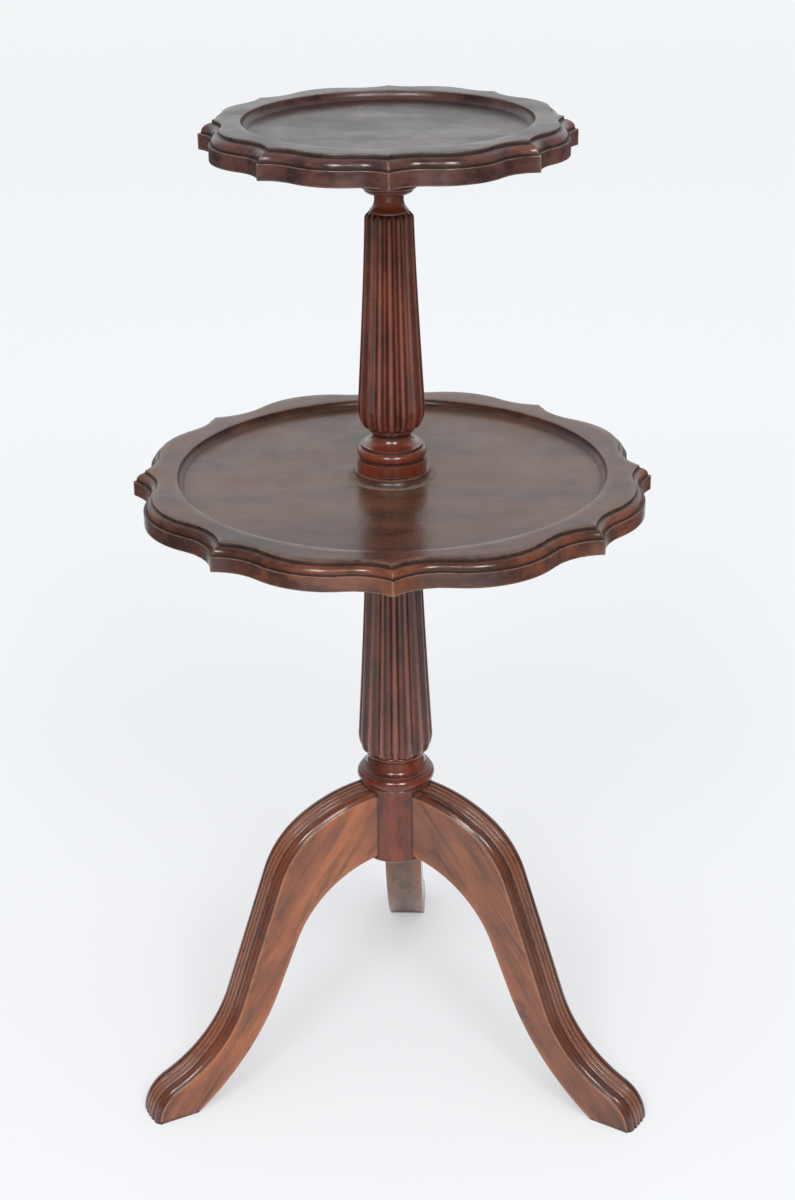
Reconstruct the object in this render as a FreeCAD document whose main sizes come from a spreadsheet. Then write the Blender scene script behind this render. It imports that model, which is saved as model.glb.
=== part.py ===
import FreeCAD, Part
import math
import operator
import os
import Sketcher

# A two-tier stand: two round trays with a scalloped, moulded edge on a turned and reeded
# pillar, carried by three moulded cabriole legs. Millimetres, +Z up, front towards -Y.
# The origin is on the floor, under the pillar's axis.

doc = FreeCAD.newDocument("tiered_stand")
sheet = doc.addObject("Spreadsheet::Sheet", "Sizes")

DRIVING_SIZES = {
    # foot block of the lower pillar, which the legs are dovetailed into
    "block_level": 220.5,        # underside of the block above the floor
    "block_radius": 33.5,
    "block_height": 75.0,
    "nib_radius": 9.0,           # small turned end left under the block
    "nib_height": 9.0,
    # lower pillar, from the block up
    "low_torus_radius": 36.0,
    "low_torus_height": 11.0,
    "low_fillet_radius": 32.5,
    "low_fillet_height": 2.0,
    "low_neck_radius": 24.0,
    "low_cove_height": 12.0,
    "low_neck_height": 1.5,
    "low_ring_radius": 27.0,
    "low_ring_height": 6.0,
    "low_shaft_foot": 29.0,      # crest radius where the reeds start
    "low_shaft_belly": 34.5,     # crest radius at the fullest place
    "low_belly_height": 15.0,
    "low_shaft_top": 25.0,       # crest radius where the reeds end
    "low_shaft_length": 208.0,
    "low_collar_radius": 20.0,
    "low_top_neck_radius": 15.5,
    "low_flare_height": 5.4,     # hollow from the thin collar in to the neck
    "low_top_neck_height": 3.0,
    "low_bead_radius": 28.5,
    "low_bead_height": 20.5,
    "low_seat_fillet_radius": 21.0,
    "low_seat_radius": 34.0,
    "low_seat_height": 8.0,
    "low_spigot_radius": 11.0,   # threaded pin that screws into the upper pillar
    "low_spigot_length": 48.0,
    # upper pillar, from its foot up
    "foot_radius": 31.0,
    "foot_height": 11.5,
    "foot_quirk_depth": 2.0,
    "foot_quirk_height": 0.8,
    "up_torus_radius": 30.8,
    "up_torus_height": 10.0,
    "up_fillet_radius": 27.3,
    "up_fillet_height": 2.8,
    "up_neck_radius": 16.6,
    "up_cove_height": 8.4,
    "up_neck_height": 3.0,
    "up_ring_radius": 20.5,
    "up_ring_height": 4.3,
    "up_shaft_foot": 23.0,
    "up_shaft_belly": 29.4,
    "up_belly_height": 18.0,
    "up_shaft_top": 21.0,
    "up_shaft_length": 183.0,
    "up_collar_radius": 16.6,
    "up_top_neck_radius": 12.6,
    "up_flare_height": 8.0,
    "up_top_neck_height": 4.4,
    "up_bead_radius": 24.5,
    "up_bead_height": 18.0,
    "up_seat_fillet_radius": 17.5,
    "up_seat_radius": 27.0,
    "up_seat_height": 7.5,
    "up_spigot_radius": 9.0,
    "up_spigot_length": 17.0,
    # turned details that both pillars share
    "reed_rise": 1.25,           # crest of a reed above its two edges
    "reed_scoop": 4.5,           # length in which the hollows run out at a shaft's ends
    "shoulder_step": 1.2,        # crest of the reeds in to the shoulder above them
    "shoulder_height": 6.3,
    "collar_height": 1.8,
    "seat_fillet": 2.0,          # between the big bead and the seat under a tray
    "soft_edge": 1.0,            # ease of a turned corner
    # trays
    "low_tray_tip": 219.0,       # centre to a point of the flat rim
    "low_tray_crest": 219.0,     # centre to the middle of a lobe
    "low_lobe_radius": 75.0,
    "low_cove_radius": 60.0,
    "low_tray_thick": 23.5,
    "low_edge_round": 6.2,       # quarter round of the edge moulding
    "low_dish_radius": 189.5,
    "low_dish_depth": 7.0,
    "dish_boss_radius": 32.5,    # raised seat for the upper pillar
    "up_tray_tip": 145.5,
    "up_tray_crest": 145.3,
    "up_lobe_radius": 49.0,
    "up_cove_radius": 43.0,
    "up_tray_thick": 24.5,
    "up_edge_round": 7.2,
    "up_dish_radius": 121.5,
    "up_dish_depth": 7.8,
    "dish_cove": 6.5,            # hollow between a dish floor and its wall
    "edge_quirk": 2.8,           # small upright step under the flat rim
    "edge_step": 1.0,            # upright below the quarter round
    "edge_ledge": 2.0,           # flat ledge between the round and the square edge
    # legs
    "leg_thick": 37.0,
    "leg_drop": 5.6,             # top edge of the leg side below the top of the block
    "leg_under": 5.3,            # underside of the leg above the underside of the block
    "hip_radius": 139.0,
    "knee_radius": 88.0,
    "ankle_radius": 131.0,
    "toe_height": 31.0,
    "inner_knee_radius": 112.0,
    "inner_ankle_radius": 263.0,
    "crown_height": 5.2,         # moulded face above the edge of the leg side
    "crown_fillet": 1.6,         # flat at each side of the moulded face
    "leg_reed_width": 5.6,
    "leg_reed_rise": 1.0,
    "tenon_neck": 15.0,
    "tenon_back": 22.0,
    "tenon_depth": 14.0,
    "tenon_height": 62.0,
    # boss under the upper tray, cleats under the lower one, and their screws
    "tray_boss_radius": 52.0,
    "tray_boss_thick": 12.0,
    "tray_boss_bevel": 5.0,
    "boss_screw_circle": 38.0,
    "cleat_length": 372.0,
    "cleat_width": 32.0,
    "cleat_thick": 9.5,
    "cleat_spread": 58.0,        # pillar axis to the middle of a cleat
    "cleat_bevel": 3.0,
    "cleat_stagger": 5.0,        # left cleat towards the front, right cleat to the rear
    "cleat_screw_pitch": 135.0,
    "screw_shank": 2.0,
    "screw_head": 4.2,
    "screw_sink": 2.6,           # height of the tapered head
    "screw_length": 19.0,
    "glue_line": 0.1,            # room in a socket, between a pin and its hole
    "hole_spare": 1.0,           # a blind hole is this much deeper than what goes in
}

REEDS = 16
TIPS = 8
LEGS = 3
CROWN_REEDS = 3
OVOLO_PLACE = 0.35               # fullest place of a leg's ovolo, across its width
OVOLO_RISE = 0.8                 # its height there over the height of the reeds
CLEAT_SCREWS = 3
BOSS_SCREWS = 4
POINT_SHIFT = 5.0                # degrees that every second tray point is past even spacing
REAR_HEADING = 87.5              # of the rear leg, turned a little under the trays
STRAIGHT_DOWN = 90.0
HIP_HEADING = 5.0                # degrees below level along the leg, from the block out
KNEE_HEADING = 30.3
SHIN_HEADING = 70.2
INSTEP_HEADING = 23.8
INNER_HIP_HEADING = 11.0
INNER_SHIN_HEADING = 67.1
INNER_HEEL_HEADING = 35.4
HALF_ROUND = 0.499               # bulge of an arc: its height over its chord
FULL_BEAD = 0.3
QUARTER_ROUND = 0.207
SHOULDER_ROUND = 0.14
FLARE_HOLLOW = 0.118
FLUTE_DEPTH = 0.24               # depth of a hollow over its width
REED_SHARE = 0.5                 # width of a reed over the pitch of the reeds
FLAT_SHARE = 0.25                # rise of a run-out hollow over the rise of a reed
SHAFT_TAPER = 1.2                # power of the taper above a shaft's belly
FOOT_STATION = 0.55              # section under a shaft's belly, as a share of its height
TAPER_STATIONS = (0.14, 0.38, 0.68)


class Size:
    """A number together with the sheet formula that gives it."""

    signs = {"+": operator.add, "-": operator.sub, "*": operator.mul, "/": operator.truediv}

    def __init__(self, value, formula):
        self.value = float(value)
        self.formula = formula

    def join(self, sign, other, swapped=False):
        if not isinstance(other, Size):
            other = Size(other, repr(float(other)))
        left, right = (other, self) if swapped else (self, other)
        value = Size.signs[sign](left.value, right.value)
        return Size(value, f"({left.formula} {sign} {right.formula})")

    def __add__(self, other):
        return self.join("+", other)

    def __sub__(self, other):
        return self.join("-", other)

    def __mul__(self, other):
        return self.join("*", other)

    def __truediv__(self, other):
        return self.join("/", other)

    def __neg__(self):
        return self * -1.0


for row, (alias, number) in enumerate(DRIVING_SIZES.items(), start=1):
    sheet.set(f"A{row}", alias)
    sheet.set(f"B{row}", str(number))
    sheet.setAlias(f"B{row}", alias)
doc.recompute()


def size(alias):
    return Size(sheet.get(alias), f"Sizes.{alias}")


ZERO = Size(0.0, "0.0")

# ---------------------------------------------------------------- levels up the stand


def seat_top(prefix, shaft_end):
    """Top of the seat that carries a tray, over the shoulder, neck and bead of a shaft."""
    parts = (size("shoulder_height"), size("collar_height"),
             size(prefix + "_flare_height"), size(prefix + "_top_neck_height"),
             size(prefix + "_bead_height"), size("seat_fillet"),
             size(prefix + "_seat_height"))
    level = shaft_end
    for part in parts:
        level = level + part
    return level


block_top = size("block_level") + size("block_height")
low_shaft_level = (block_top + size("low_torus_height") + size("low_fillet_height")
                   + size("low_cove_height") + size("low_neck_height")
                   + size("low_ring_height"))
low_shaft_end = low_shaft_level + size("low_shaft_length")
low_tray_level = seat_top("low", low_shaft_end)
low_rim_level = low_tray_level + size("low_tray_thick")
up_shaft_level = (low_rim_level + size("foot_height") + size("up_torus_height")
                  + size("up_fillet_height") + size("up_cove_height")
                  + size("up_neck_height") + size("up_ring_height"))
up_shaft_end = up_shaft_level + size("up_shaft_length")
tray_boss_level = seat_top("up", up_shaft_end)
up_tray_level = tray_boss_level + size("tray_boss_thick")

# ---------------------------------------------------------------- sketches and features


def new_body(label):
    body = doc.addObject("PartDesign::Body", label)
    body.Label = label
    return body


def new_sketch(body, name, plane, level=None):
    """A sketch on one of the body's own planes, raised to a level if one is given."""
    sketch = body.newObject("Sketcher::SketchObject", name)
    support = [face for face in body.Origin.OriginFeatures if face.Role == plane][0]
    sketch.AttachmentSupport = [(support, "")]
    sketch.MapMode = "FlatFace"
    if level is not None:
        sketch.AttachmentOffset = FreeCAD.Placement(
            FreeCAD.Vector(0, 0, level.value), FreeCAD.Rotation())
        sketch.setExpression(".AttachmentOffset.Base.z", level.formula)
    return sketch


def hold(sketch, kind, geometry, point, place):
    """Holds one coordinate of a point at a sheet formula."""
    if kind == "DistanceX" and place.formula == ZERO.formula:
        sketch.addConstraint(Sketcher.Constraint("PointOnObject", geometry, point, -2))
        return
    row = sketch.addConstraint(
        Sketcher.Constraint(kind, -1, 1, geometry, point, place.value))
    sketch.setExpression(f"Constraints[{row}]", place.formula)


def outline(sketch, nodes):
    """A closed outline through (x, y) nodes. A third entry is the bulge of the arc that
    leads to the node: the arc's height over its chord, positive to the right of travel."""
    nodes = [tuple(node) + (0,) * (3 - len(node)) for node in nodes]
    ends = []
    for start, end in zip(nodes, nodes[1:] + nodes[:1]):
        first = FreeCAD.Vector(start[0].value, start[1].value, 0)
        last = FreeCAD.Vector(end[0].value, end[1].value, 0)
        bulge = end[2]
        if bulge == 0:
            geometry = sketch.addGeometry(Part.LineSegment(first, last))
            ends.append((geometry, 1, 2))
            continue
        across = FreeCAD.Vector(last.y - first.y, first.x - last.x, 0)
        crown = (first + last) * 0.5 + across * bulge
        if bulge > 0:
            geometry = sketch.addGeometry(Part.Arc(first, crown, last))
            ends.append((geometry, 1, 2))
        else:
            geometry = sketch.addGeometry(Part.Arc(last, crown, first))
            ends.append((geometry, 2, 1))
        offset = (0.25 - bulge * bulge) / (2 * bulge)
        if abs(last.y - first.y) >= abs(last.x - first.x):
            centre = (start[0] + end[0]) * 0.5 - (end[1] - start[1]) * offset
            hold(sketch, "DistanceX", geometry, 3, centre)
        else:
            centre = (start[1] + end[1]) * 0.5 + (end[0] - start[0]) * offset
            hold(sketch, "DistanceY", geometry, 3, centre)
    for place, (geometry, first, last) in enumerate(ends):
        following = ends[(place + 1) % len(ends)]
        sketch.addConstraint(
            Sketcher.Constraint("Coincident", geometry, last, following[0], following[1]))
        hold(sketch, "DistanceX", geometry, first, nodes[place][0])
        hold(sketch, "DistanceY", geometry, first, nodes[place][1])


def closed_lines(sketch, points):
    for start, end in zip(points, points[1:] + points[:1]):
        sketch.addGeometry(Part.LineSegment(start, end))


def circles(sketch, centres, radius):
    """Circles of one radius, which is held at its sheet formula."""
    for x, y in centres:
        geometry = sketch.addGeometry(
            Part.Circle(FreeCAD.Vector(x, y, 0), FreeCAD.Vector(0, 0, 1), radius.value))
        row = sketch.addConstraint(Sketcher.Constraint("Radius", geometry, radius.value))
        sketch.setExpression(f"Constraints[{row}]", radius.formula)


def revolve(body, name, nodes, kind="PartDesign::Revolution"):
    """Turns an outline of (radius, level) nodes about the body's Z axis."""
    profile = new_sketch(body, name + "_profile", "XZ_Plane")
    outline(profile, nodes)
    feature = body.newObject(kind, name)
    feature.Profile = profile
    feature.ReferenceAxis = (profile, ["V_Axis"])
    feature.Angle = 360
    return feature


def pad(body, name, profile, height):
    feature = body.newObject("PartDesign::Pad", name)
    feature.Profile = profile
    feature.setExpression("Length", height.formula)
    return feature


def pocket_up(body, name, profile, height):
    """Cuts upwards from a level sketch."""
    feature = body.newObject("PartDesign::Pocket", name)
    feature.Profile = profile
    feature.Reversed = True
    feature.setExpression("Length", height.formula)
    return feature


# ---------------------------------------------------------------- turned and reeded pillars


def polar(radius, angle):
    return FreeCAD.Vector(radius * math.cos(angle), radius * math.sin(angle), 0)


def reed_section(body, name, level, crest, hollow):
    """One section of a reeded shaft: rounded reeds with hollows between them."""
    sketch = new_sketch(body, name, "XY_Plane", level)
    edge = crest - size("reed_rise").value
    pitch = 2 * math.pi / REEDS
    reed = REED_SHARE * pitch
    gap = pitch - reed
    depth = FLUTE_DEPTH * gap * edge if hollow else -FLAT_SHARE * size("reed_rise").value
    for turn in range(REEDS):
        start = turn * pitch - reed / 2
        end = start + reed
        sketch.addGeometry(Part.Arc(polar(edge, start), polar(crest, turn * pitch),
                                    polar(edge, end)))
        sketch.addGeometry(Part.Arc(polar(edge, end), polar(edge - depth, end + gap / 2),
                                    polar(edge, end + gap)))
    return sketch


def crest_radius(foot, belly, top, belly_height, length, height):
    """Radius over the reeds at a height: full low down, then a long hollow taper."""
    if height < belly_height:
        rest = 1 - height / belly_height
        return belly - (belly - foot) * (1 - math.sqrt(1 - rest * rest))
    rest = 1 - (height - belly_height) / (length - belly_height)
    return top + (belly - top) * rest ** SHAFT_TAPER


def reeded_shaft(body, prefix, level):
    """Joins the sections of a shaft, with the hollows scooped out just inside both ends."""
    foot, belly, top, belly_height, length = (
        size(prefix + name) for name in
        ("_shaft_foot", "_shaft_belly", "_shaft_top", "_belly_height", "_shaft_length"))
    scoop = size("reed_scoop")
    heights = [ZERO, scoop, belly_height * FOOT_STATION, belly_height]
    heights += [belly_height + (length - belly_height) * share for share in TAPER_STATIONS]
    heights += [length - scoop, length]
    sections = []
    for place, height in enumerate(heights):
        crest = crest_radius(foot.value, belly.value, top.value, belly_height.value,
                             length.value, height.value)
        hollow = 0 < place < len(heights) - 1
        sections.append(reed_section(body, f"{prefix}_section_{place}", level + height,
                                     crest, hollow))
    shaft = body.newObject("PartDesign::AdditiveLoft", prefix + "_reeded_shaft")
    shaft.Profile = (sections[0], [""])
    shaft.Sections = [(section, [""]) for section in sections[1:]]
    shaft.Ruled = True


def shaft_top_nodes(prefix, shaft_end, core):
    """Shoulder, thin collar, neck, big bead, fillet, seat and pin over a shaft."""
    collar, neck = size(prefix + "_collar_radius"), size(prefix + "_top_neck_radius")
    fillet, seat = size(prefix + "_seat_fillet_radius"), size(prefix + "_seat_radius")
    spigot = size(prefix + "_spigot_radius")
    bead_height, soft = size(prefix + "_bead_height"), size("soft_edge")
    bead_side = size(prefix + "_bead_radius") - bead_height * 0.5
    collar_level = shaft_end + size("shoulder_height")
    flare_level = collar_level + size("collar_height")
    neck_level = flare_level + size(prefix + "_flare_height")
    bead_level = neck_level + size(prefix + "_top_neck_height")
    bead_end = bead_level + bead_height
    fillet_end = bead_end + size("seat_fillet")
    seat_end = fillet_end + size(prefix + "_seat_height")
    spigot_end = seat_end + size(prefix + "_spigot_length")
    return [
        (core, shaft_end),
        (size(prefix + "_shaft_top") - size("shoulder_step"), shaft_end),
        (collar, collar_level, SHOULDER_ROUND),
        (collar, flare_level),
        (neck, neck_level, -FLARE_HOLLOW),
        (neck, bead_level),
        (bead_side, bead_level),
        (bead_side, bead_end, HALF_ROUND),
        (fillet, bead_end),
        (fillet, fillet_end),
        (seat - soft, fillet_end),
        (seat, fillet_end + soft),
        (seat, seat_end),
        (spigot, seat_end),
        (spigot, spigot_end - soft),
        (spigot - soft, spigot_end),
        (ZERO, spigot_end),
    ]


def dovetail(start, back, out, half_back, half_neck, turn=0.0):
    """Corners of a dovetail seen from above, pointing to +X before its turn in degrees."""
    corners = [(back, -half_back), (out, -half_neck), (out, half_neck), (back, half_back)]
    spin = FreeCAD.Rotation(FreeCAD.Vector(0, 0, 1), turn)
    return [start + spin.multVec(FreeCAD.Vector(x, y, 0)) for x, y in corners]


def lower_column():
    """Foot block with its dovetail sockets, reeded shaft, seat and pin, in one turning."""
    body = new_body("lower_column")
    bottom, block, soft = size("block_level"), size("block_radius"), size("soft_edge")
    fillet, neck = size("low_fillet_radius"), size("low_neck_radius")
    core = size("low_top_neck_radius") - soft
    torus_side = size("low_torus_radius") - size("low_torus_height") * FULL_BEAD
    torus_end = block_top + size("low_torus_height")
    fillet_end = torus_end + size("low_fillet_height")
    cove_end = fillet_end + size("low_cove_height")
    neck_end = cove_end + size("low_neck_height")
    ring_side = size("low_ring_radius") - size("low_ring_height") * FULL_BEAD
    nib, nib_level = size("nib_radius"), bottom - size("nib_height")
    nib_round = nib * 0.5
    revolve(body, "lower_turning", [
        (ZERO, nib_level),
        (nib - nib_round, nib_level),
        (nib, nib_level + nib_round, QUARTER_ROUND),
        (nib, bottom),
        (block - soft, bottom),
        (block, bottom + soft),
        (block, block_top),
        (torus_side, block_top),
        (torus_side, torus_end, FULL_BEAD),
        (fillet, torus_end),
        (fillet, fillet_end),
        (neck, cove_end, -QUARTER_ROUND),
        (neck, neck_end),
        (ring_side, neck_end),
        (ring_side, low_shaft_level, FULL_BEAD),
        (core, low_shaft_level),
    ] + shaft_top_nodes("low", low_shaft_end, core))
    reeded_shaft(body, "low", low_shaft_level)
    doc.recompute()
    whole = body.Shape.Volume
    sockets = new_sketch(body, "dovetail_socket_profile", "XY_Plane", bottom)
    room, half_back = size("glue_line"), size("tenon_back") * 0.5
    corners = dovetail(FreeCAD.Vector(), (block - size("tenon_depth") - room).value,
                       (block + size("hole_spare")).value, (half_back + room).value,
                       (size("tenon_neck") * 0.5 + room).value, REAR_HEADING)
    closed_lines(sockets, corners)
    first = pocket_up(body, "dovetail_socket", sockets, size("tenon_height") + room)
    doc.recompute()
    around = body.newObject("PartDesign::PolarPattern", "dovetail_sockets")
    around.Originals = [first]
    around.Axis = (sockets, ["N_Axis"])
    around.Angle = 360
    around.Occurrences = LEGS
    body.Tip = around
    doc.recompute()
    print("sockets take", round(whole - body.Shape.Volume), "mm3")
    return body


def upper_column():
    """Foot with the socket of the lower pin, reeded shaft, seat and pin, in one turning."""
    body = new_body("upper_column")
    foot, soft, fillet = size("foot_radius"), size("soft_edge"), size("up_fillet_radius")
    neck, quirk = size("up_neck_radius"), foot - size("foot_quirk_depth")
    core = size("up_top_neck_radius") - soft
    socket = size("low_spigot_radius") + size("glue_line")
    socket_end = low_tray_level + size("low_spigot_length") + size("hole_spare")
    foot_end = low_rim_level + size("foot_height")
    torus_level = foot_end + size("foot_quirk_height")
    torus_end = foot_end + size("up_torus_height")
    torus_side = size("up_torus_radius") - (torus_end - torus_level) * FULL_BEAD
    fillet_end = torus_end + size("up_fillet_height")
    cove_end = fillet_end + size("up_cove_height")
    neck_end = cove_end + size("up_neck_height")
    ring_side = size("up_ring_radius") - size("up_ring_height") * FULL_BEAD
    revolve(body, "upper_turning", [
        (socket, low_rim_level),
        (foot - soft, low_rim_level),
        (foot, low_rim_level + soft),
        (foot, foot_end),
        (quirk, foot_end),
        (quirk, torus_level),
        (torus_side, torus_level),
        (torus_side, torus_end, FULL_BEAD),
        (fillet, torus_end),
        (fillet, fillet_end),
        (neck, cove_end, -QUARTER_ROUND),
        (neck, neck_end),
        (ring_side, neck_end),
        (ring_side, up_shaft_level, FULL_BEAD),
        (core, up_shaft_level),
    ] + shaft_top_nodes("up", up_shaft_end, core) + [
        (ZERO, socket_end),
        (socket, socket_end),
    ])
    reeded_shaft(body, "up", up_shaft_level)
    return body


# ---------------------------------------------------------------- scalloped trays


def meeting(centre_a, radius_a, centre_b, radius_b, pick=max):
    """Where two circles of a level outline cross: the outer of the two places, or the
    inner one with pick=min."""
    span = centre_b - centre_a
    along = (span.Length ** 2 + radius_a ** 2 - radius_b ** 2) / (2 * span.Length)
    aside = math.sqrt(max(radius_a ** 2 - along ** 2, 0.0))
    unit = span * (1 / span.Length)
    square = FreeCAD.Vector(-unit.y, unit.x, 0)
    places = [centre_a + unit * along + square * way for way in (aside, -aside)]
    return pick(places, key=lambda place: place.Length)


def scalloped_edges(prefix, outset):
    """Arcs of the tray outline: between two points a lobe with a cove at each side.
    An outset keeps every centre and changes the radii, so mouldings run parallel."""
    tip, crest = size(prefix + "_tray_tip").value, size(prefix + "_tray_crest").value
    lobe, cove = size(prefix + "_lobe_radius").value, size(prefix + "_cove_radius").value
    angles = [math.radians(270 + 360 / TIPS * place + POINT_SHIFT * (place % 2))
              for place in range(TIPS)]
    sides = []
    for start, end in zip(angles, angles[1:] + [angles[0] + 2 * math.pi]):
        middle = polar(crest - lobe, (start + end) / 2)
        sides.append([middle] + [meeting(middle, lobe + cove, polar(tip, angle), cove)
                                 for angle in (start, end)])
    edges = []
    for place, (middle, rising, falling) in enumerate(sides):
        before, after = sides[place - 1][2], sides[(place + 1) % TIPS][1]
        point = meeting(before, cove - outset, rising, cove - outset, pick=min)
        next_point = meeting(falling, cove - outset, after, cove - outset, pick=min)
        rise = middle + (rising - middle).normalize() * (lobe + outset)
        fall = middle + (falling - middle).normalize() * (lobe + outset)
        for centre, start, end in ((rising, point, rise), (middle, rise, fall),
                                   (falling, fall, next_point)):
            radius = (start - centre).Length
            halfway = centre + ((start + end) * 0.5 - centre).normalize() * radius
            edges.append(Part.Arc(start, halfway, end))
    return edges


def tray_layer(body, name, prefix, outset, level, height):
    """One layer of a tray, inside the outline that is set out by the given amount."""
    profile = new_sketch(body, name + "_outline", "XY_Plane", level)
    for edge in scalloped_edges(prefix, outset.value):
        profile.addGeometry(edge)
    return pad(body, name, profile, height)


def moulded_tray(label, prefix, level):
    """The square edge, the quarter round over its ledge, the quirk and the flat rim."""
    body = new_body(label)
    thick, quirk, bead = (size(name) for name in
                          (prefix + "_tray_thick", "edge_quirk", prefix + "_edge_round"))
    square = thick - quirk - bead - size("edge_step")
    tray_layer(body, label + "_edge", prefix, bead + size("edge_ledge"), level, square)
    rounded = tray_layer(body, label + "_bead", prefix, bead, level + square,
                         bead + size("edge_step"))
    doc.recompute()
    bead_top = (level + thick - quirk).value
    upper_edges = [f"Edge{number}" for number, edge in enumerate(rounded.Shape.Edges, start=1)
                   if abs(edge.BoundBox.ZMin - bead_top) < 0.01]
    quarter_round = body.newObject("PartDesign::Fillet", label + "_quarter_round")
    quarter_round.Base = (rounded, upper_edges)
    quarter_round.setExpression("Radius", bead.formula)
    tray_layer(body, label + "_rim", prefix, ZERO, level + thick - quirk, quirk)
    return body


def cut_dish(body, prefix, level, boss=None):
    """Sinks the dish, with a hollow up to the rim and up to the raised seat if any."""
    top = level + size(prefix + "_tray_thick")
    over, floor = top + size("hole_spare"), top - size(prefix + "_dish_depth")
    wall, cove = size(prefix + "_dish_radius"), size("dish_cove")
    middle = [(ZERO, over), (ZERO, floor)]
    if boss:
        middle = [(boss, over), (boss, top), (boss + cove, floor, QUARTER_ROUND)]
    revolve(body, body.Label + "_dish",
            middle + [(wall - cove, floor), (wall, top, QUARTER_ROUND), (wall, over)],
            "PartDesign::Groove")


def cleat_screw_places():
    """Screws under the lower tray, along both cleats."""
    places = []
    for side in (-1, 1):
        for step in range(CLEAT_SCREWS):
            along = size("cleat_screw_pitch") * (step - (CLEAT_SCREWS - 1) / 2)
            places.append((size("cleat_spread") * side, size("cleat_stagger") * side + along))
    return places


def boss_screw_places():
    """Screws in a circle through the boss into the upper tray."""
    circle = size("boss_screw_circle")
    turns = [math.radians(45 + 360 / BOSS_SCREWS * step) for step in range(BOSS_SCREWS)]
    return [(circle * math.cos(turn), circle * math.sin(turn)) for turn in turns]


def bore_tray(body, level, bore, bore_depth, screws, pilot_depth):
    """The hole for the pillar's pin and the pilot holes, all from the underside."""
    for name, centres, radius, depth in (
            ("pin_hole", [(0.0, 0.0)], bore, bore_depth),
            ("pilot_holes", [(x.value, y.value) for x, y in screws],
             size("screw_shank") + size("glue_line"), pilot_depth)):
        profile = new_sketch(body, f"{body.Label}_{name}_circles", "XY_Plane", level)
        circles(profile, centres, radius)
        pocket_up(body, f"{body.Label}_{name}", profile, depth)


def lower_tray():
    body = moulded_tray("lower_tray", "low", low_tray_level)
    cut_dish(body, "low", low_tray_level, size("dish_boss_radius"))
    grip = size("screw_length") - size("cleat_thick") + size("hole_spare")
    bore_tray(body, low_tray_level, size("low_spigot_radius") + size("glue_line"),
              size("low_tray_thick"), cleat_screw_places(), grip)
    return body


def upper_tray():
    body = moulded_tray("upper_tray", "up", up_tray_level)
    cut_dish(body, "up", up_tray_level)
    grip = size("screw_length") - size("tray_boss_thick") + size("hole_spare")
    pin = size("up_spigot_length") - size("tray_boss_thick") + size("hole_spare")
    bore_tray(body, up_tray_level, size("up_spigot_radius") + size("glue_line"), pin,
              boss_screw_places(), grip)
    return body


# ---------------------------------------------------------------- legs


def walk(start, heading, steps):
    """Follows tangent arcs and straights from a point, with headings in degrees below
    level. A step is (radius, new heading), or (length, None) for a straight."""
    edges, here = [], start
    for reach, target in steps:
        first = math.radians(heading)
        if target is None:
            there = here + FreeCAD.Vector(math.cos(first), -math.sin(first), 0) * reach
            edges.append(Part.LineSegment(here, there))
        else:
            side = reach if target > heading else -reach
            places = [here + FreeCAD.Vector(math.sin(turn) - math.sin(first),
                                            math.cos(turn) - math.cos(first), 0) * side
                      for turn in (math.radians((heading + target) / 2), math.radians(target))]
            there, heading = places[1], target
            edges.append(Part.Arc(here, places[0], there))
        here = there
    return edges


def drop(radius, heading, target):
    """Height lost along an arc from one heading to another."""
    lost = radius * (math.cos(math.radians(heading)) - math.cos(math.radians(target)))
    return lost if target > heading else -lost


def straight_between(height, heading, arcs_lost):
    """Length of the straight that takes up what is left of a height."""
    return (height - arcs_lost) / math.sin(math.radians(heading))


def top_line():
    """Top edge of the leg side: hip, knee, shin, instep and the toe down to the floor."""
    hip, knee, ankle, toe = (size(name).value for name in
                             ("hip_radius", "knee_radius", "ankle_radius", "toe_height"))
    height = (block_top - size("leg_drop")).value
    inset = size("tenon_depth").value
    block = size("block_radius").value
    rise = inset * math.tan(math.radians(HIP_HEADING))
    lost = (drop(hip, HIP_HEADING, KNEE_HEADING) + drop(knee, KNEE_HEADING, SHIN_HEADING)
            + drop(ankle, SHIN_HEADING, INSTEP_HEADING))
    shin = straight_between(height - toe, SHIN_HEADING, lost)
    return walk(FreeCAD.Vector(block - inset, height + rise, 0), HIP_HEADING, [
        (inset / math.cos(math.radians(HIP_HEADING)), None),
        (hip, KNEE_HEADING),
        (knee, SHIN_HEADING),
        (shin, None),
        (ankle, INSTEP_HEADING),
        (toe / math.cos(math.radians(INSTEP_HEADING)), STRAIGHT_DOWN),
    ])


def under_line():
    """Underside of the leg: groin, back of the shin and the heel on the floor."""
    knee, ankle = size("inner_knee_radius").value, size("inner_ankle_radius").value
    height = (size("block_level") + size("leg_under")).value
    inset = size("tenon_depth").value
    block = size("block_radius").value
    rise = inset * math.tan(math.radians(INNER_HIP_HEADING))
    lost = (drop(knee, INNER_HIP_HEADING, INNER_SHIN_HEADING)
            + drop(ankle, INNER_SHIN_HEADING, INNER_HEEL_HEADING))
    shin = straight_between(height, INNER_SHIN_HEADING, lost)
    return walk(FreeCAD.Vector(block - inset, height + rise, 0), INNER_HIP_HEADING, [
        (inset / math.cos(math.radians(INNER_HIP_HEADING)), None),
        (knee, INNER_SHIN_HEADING),
        (shin, None),
        (ankle, INNER_HEEL_HEADING),
    ])


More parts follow.
